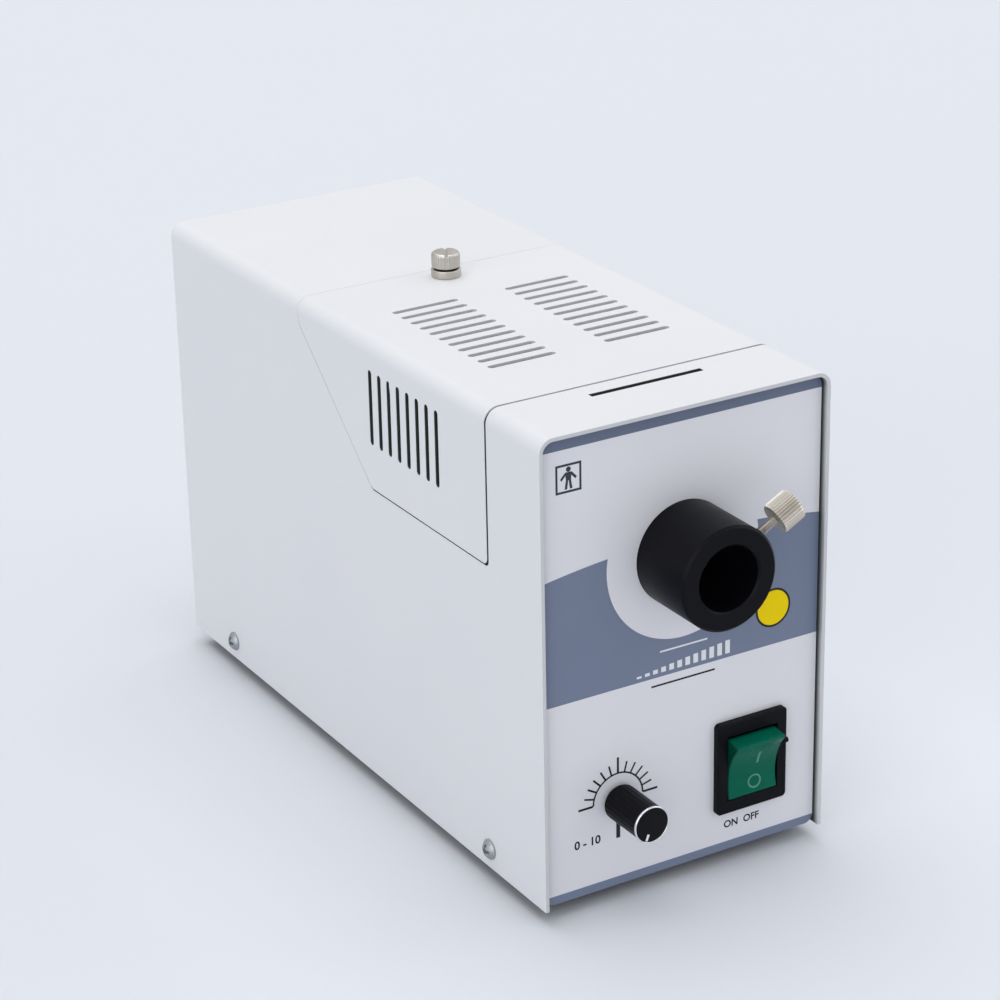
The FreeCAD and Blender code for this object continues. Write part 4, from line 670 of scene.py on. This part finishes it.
bar_x, bar_z = np.meshgrid([1.05, 1.85], np.linspace(0.1, 4.8, 9))
raised_mark("mark_on", bar_x, bar_z)
turn, reach = np.meshgrid(np.linspace(0, 2 * math.pi, 49), [1.85, 2.45])
raised_mark("mark_off", 0.85 + reach * np.sin(turn), -6.1 + 0.9 * reach * np.cos(turn))


# ---------------------------------------------------------------- floor, camera and light

def stage_plane(name, size, location, turn, material):
    """Flat square that stands for the studio."""
    mesh = bpy.data.meshes.new(name)
    h = size / 2
    mesh.from_pydata([(-h, -h, 0), (h, -h, 0), (h, h, 0), (-h, h, 0)], [], [(0, 1, 2, 3)])
    mesh.materials.append(material)
    made = bpy.data.objects.new(name, mesh)
    made.location = location
    made.rotation_euler = turn
    scene.collection.objects.link(made)
    return made


# Matt paper sweep under the object: pale blue-grey.
paper = finish("pale_studio_paper", "DFE2E9", "DDE0E7", 900, (0.85, 0.9), 2.0, 0.002, Specular_IOR_Level=0.2)
stage_plane("floor", 40.0, (0, 0, 0), (0, 0, 0), paper)

camera_data = bpy.data.cameras.new("camera")
camera_data.sensor_width = 36.0
camera_data.lens = 109.334
camera_data.clip_end = 100.0
camera_place = (-0.452768, -0.773718, 0.466342)
camera = bpy.data.objects.new("camera", camera_data)
azimuth, elevation, roll = math.radians(-30.381), math.radians(22.911), math.radians(-1.234)
back = Vector((math.sin(azimuth) * math.cos(elevation), -math.cos(azimuth) * math.cos(elevation),
               math.sin(elevation)))
right = (-back).cross(Vector((0, 0, 1))).normalized()
up = right.cross(-back)
rolled_right = math.cos(roll) * right + math.sin(roll) * up
rolled_up = -math.sin(roll) * right + math.cos(roll) * up
turn_matrix = Matrix((rolled_right, rolled_up, back)).transposed().to_4x4()
camera.matrix_world = Matrix.Translation(camera_place) @ turn_matrix
scene.collection.objects.link(camera)
scene.camera = camera


def soft_sun(name, strength, azimuth, elevation, colour):
    """Broad even light, 60 degrees across, that comes from the azimuth: 0 is behind the object, 90 its right
    side."""
    data = bpy.data.lights.new(name, "SUN")
    data.energy = strength
    data.angle = math.radians(60)
    data.color = colour
    made = bpy.data.objects.new(name, data)
    level, turn = math.radians(elevation), math.radians(azimuth)
    towards = Vector((math.sin(turn) * math.cos(level), math.cos(turn) * math.cos(level), math.sin(level)))
    made.rotation_mode = "QUATERNION"
    made.rotation_quaternion = towards.to_track_quat("Z", "Y")
    scene.collection.objects.link(made)


soft_sun("overhead_bank", 1.75, 0, 78, (1.0, 1.0, 1.0))
soft_sun("high_left_bank", 0.3, 225, 60, (1.0, 1.0, 1.0))
soft_sun("left_bank", 1.15, 238, 20, (0.98, 0.99, 1.0))
soft_sun("right_bank", 0.5, 85, 25, (0.98, 0.99, 1.0))
soft_sun("front_right_bank", 0.5, 125, 35, (0.98, 0.99, 1.0))
soft_sun("front_bank", 0.12, 190, 15, (0.98, 0.99, 1.0))

# The studio walls are dim, but look pale in metal and glass, and as pale as the floor when seen directly.
world = bpy.data.worlds.new("studio_walls")
world.use_nodes = True
walls = world.node_tree.nodes["Background"]
walls.inputs["Color"].default_value = (0.90, 0.93, 0.97, 1)
path = add_node(world, "LightPath")
seen = add_node(world, "Math", {"operation": "MAXIMUM"},
                {0: path.outputs["Is Glossy Ray"], 1: path.outputs["Is Transmission Ray"]})
glow = add_node(world, "MapRange", inputs={"Value": seen.outputs[0], "To Min": 0.16, "To Max": 0.66})
direct = add_node(world, "Math", {"operation": "MULTIPLY"}, {0: path.outputs["Is Camera Ray"], 1: 0.87})
glow = add_node(world, "Math", {"operation": "MAXIMUM"}, {0: glow.outputs[0], 1: direct.outputs[0]})
world.node_tree.links.new(glow.outputs[0], walls.inputs["Strength"])
scene.world = world
scene.view_settings.view_transform = "Standard"
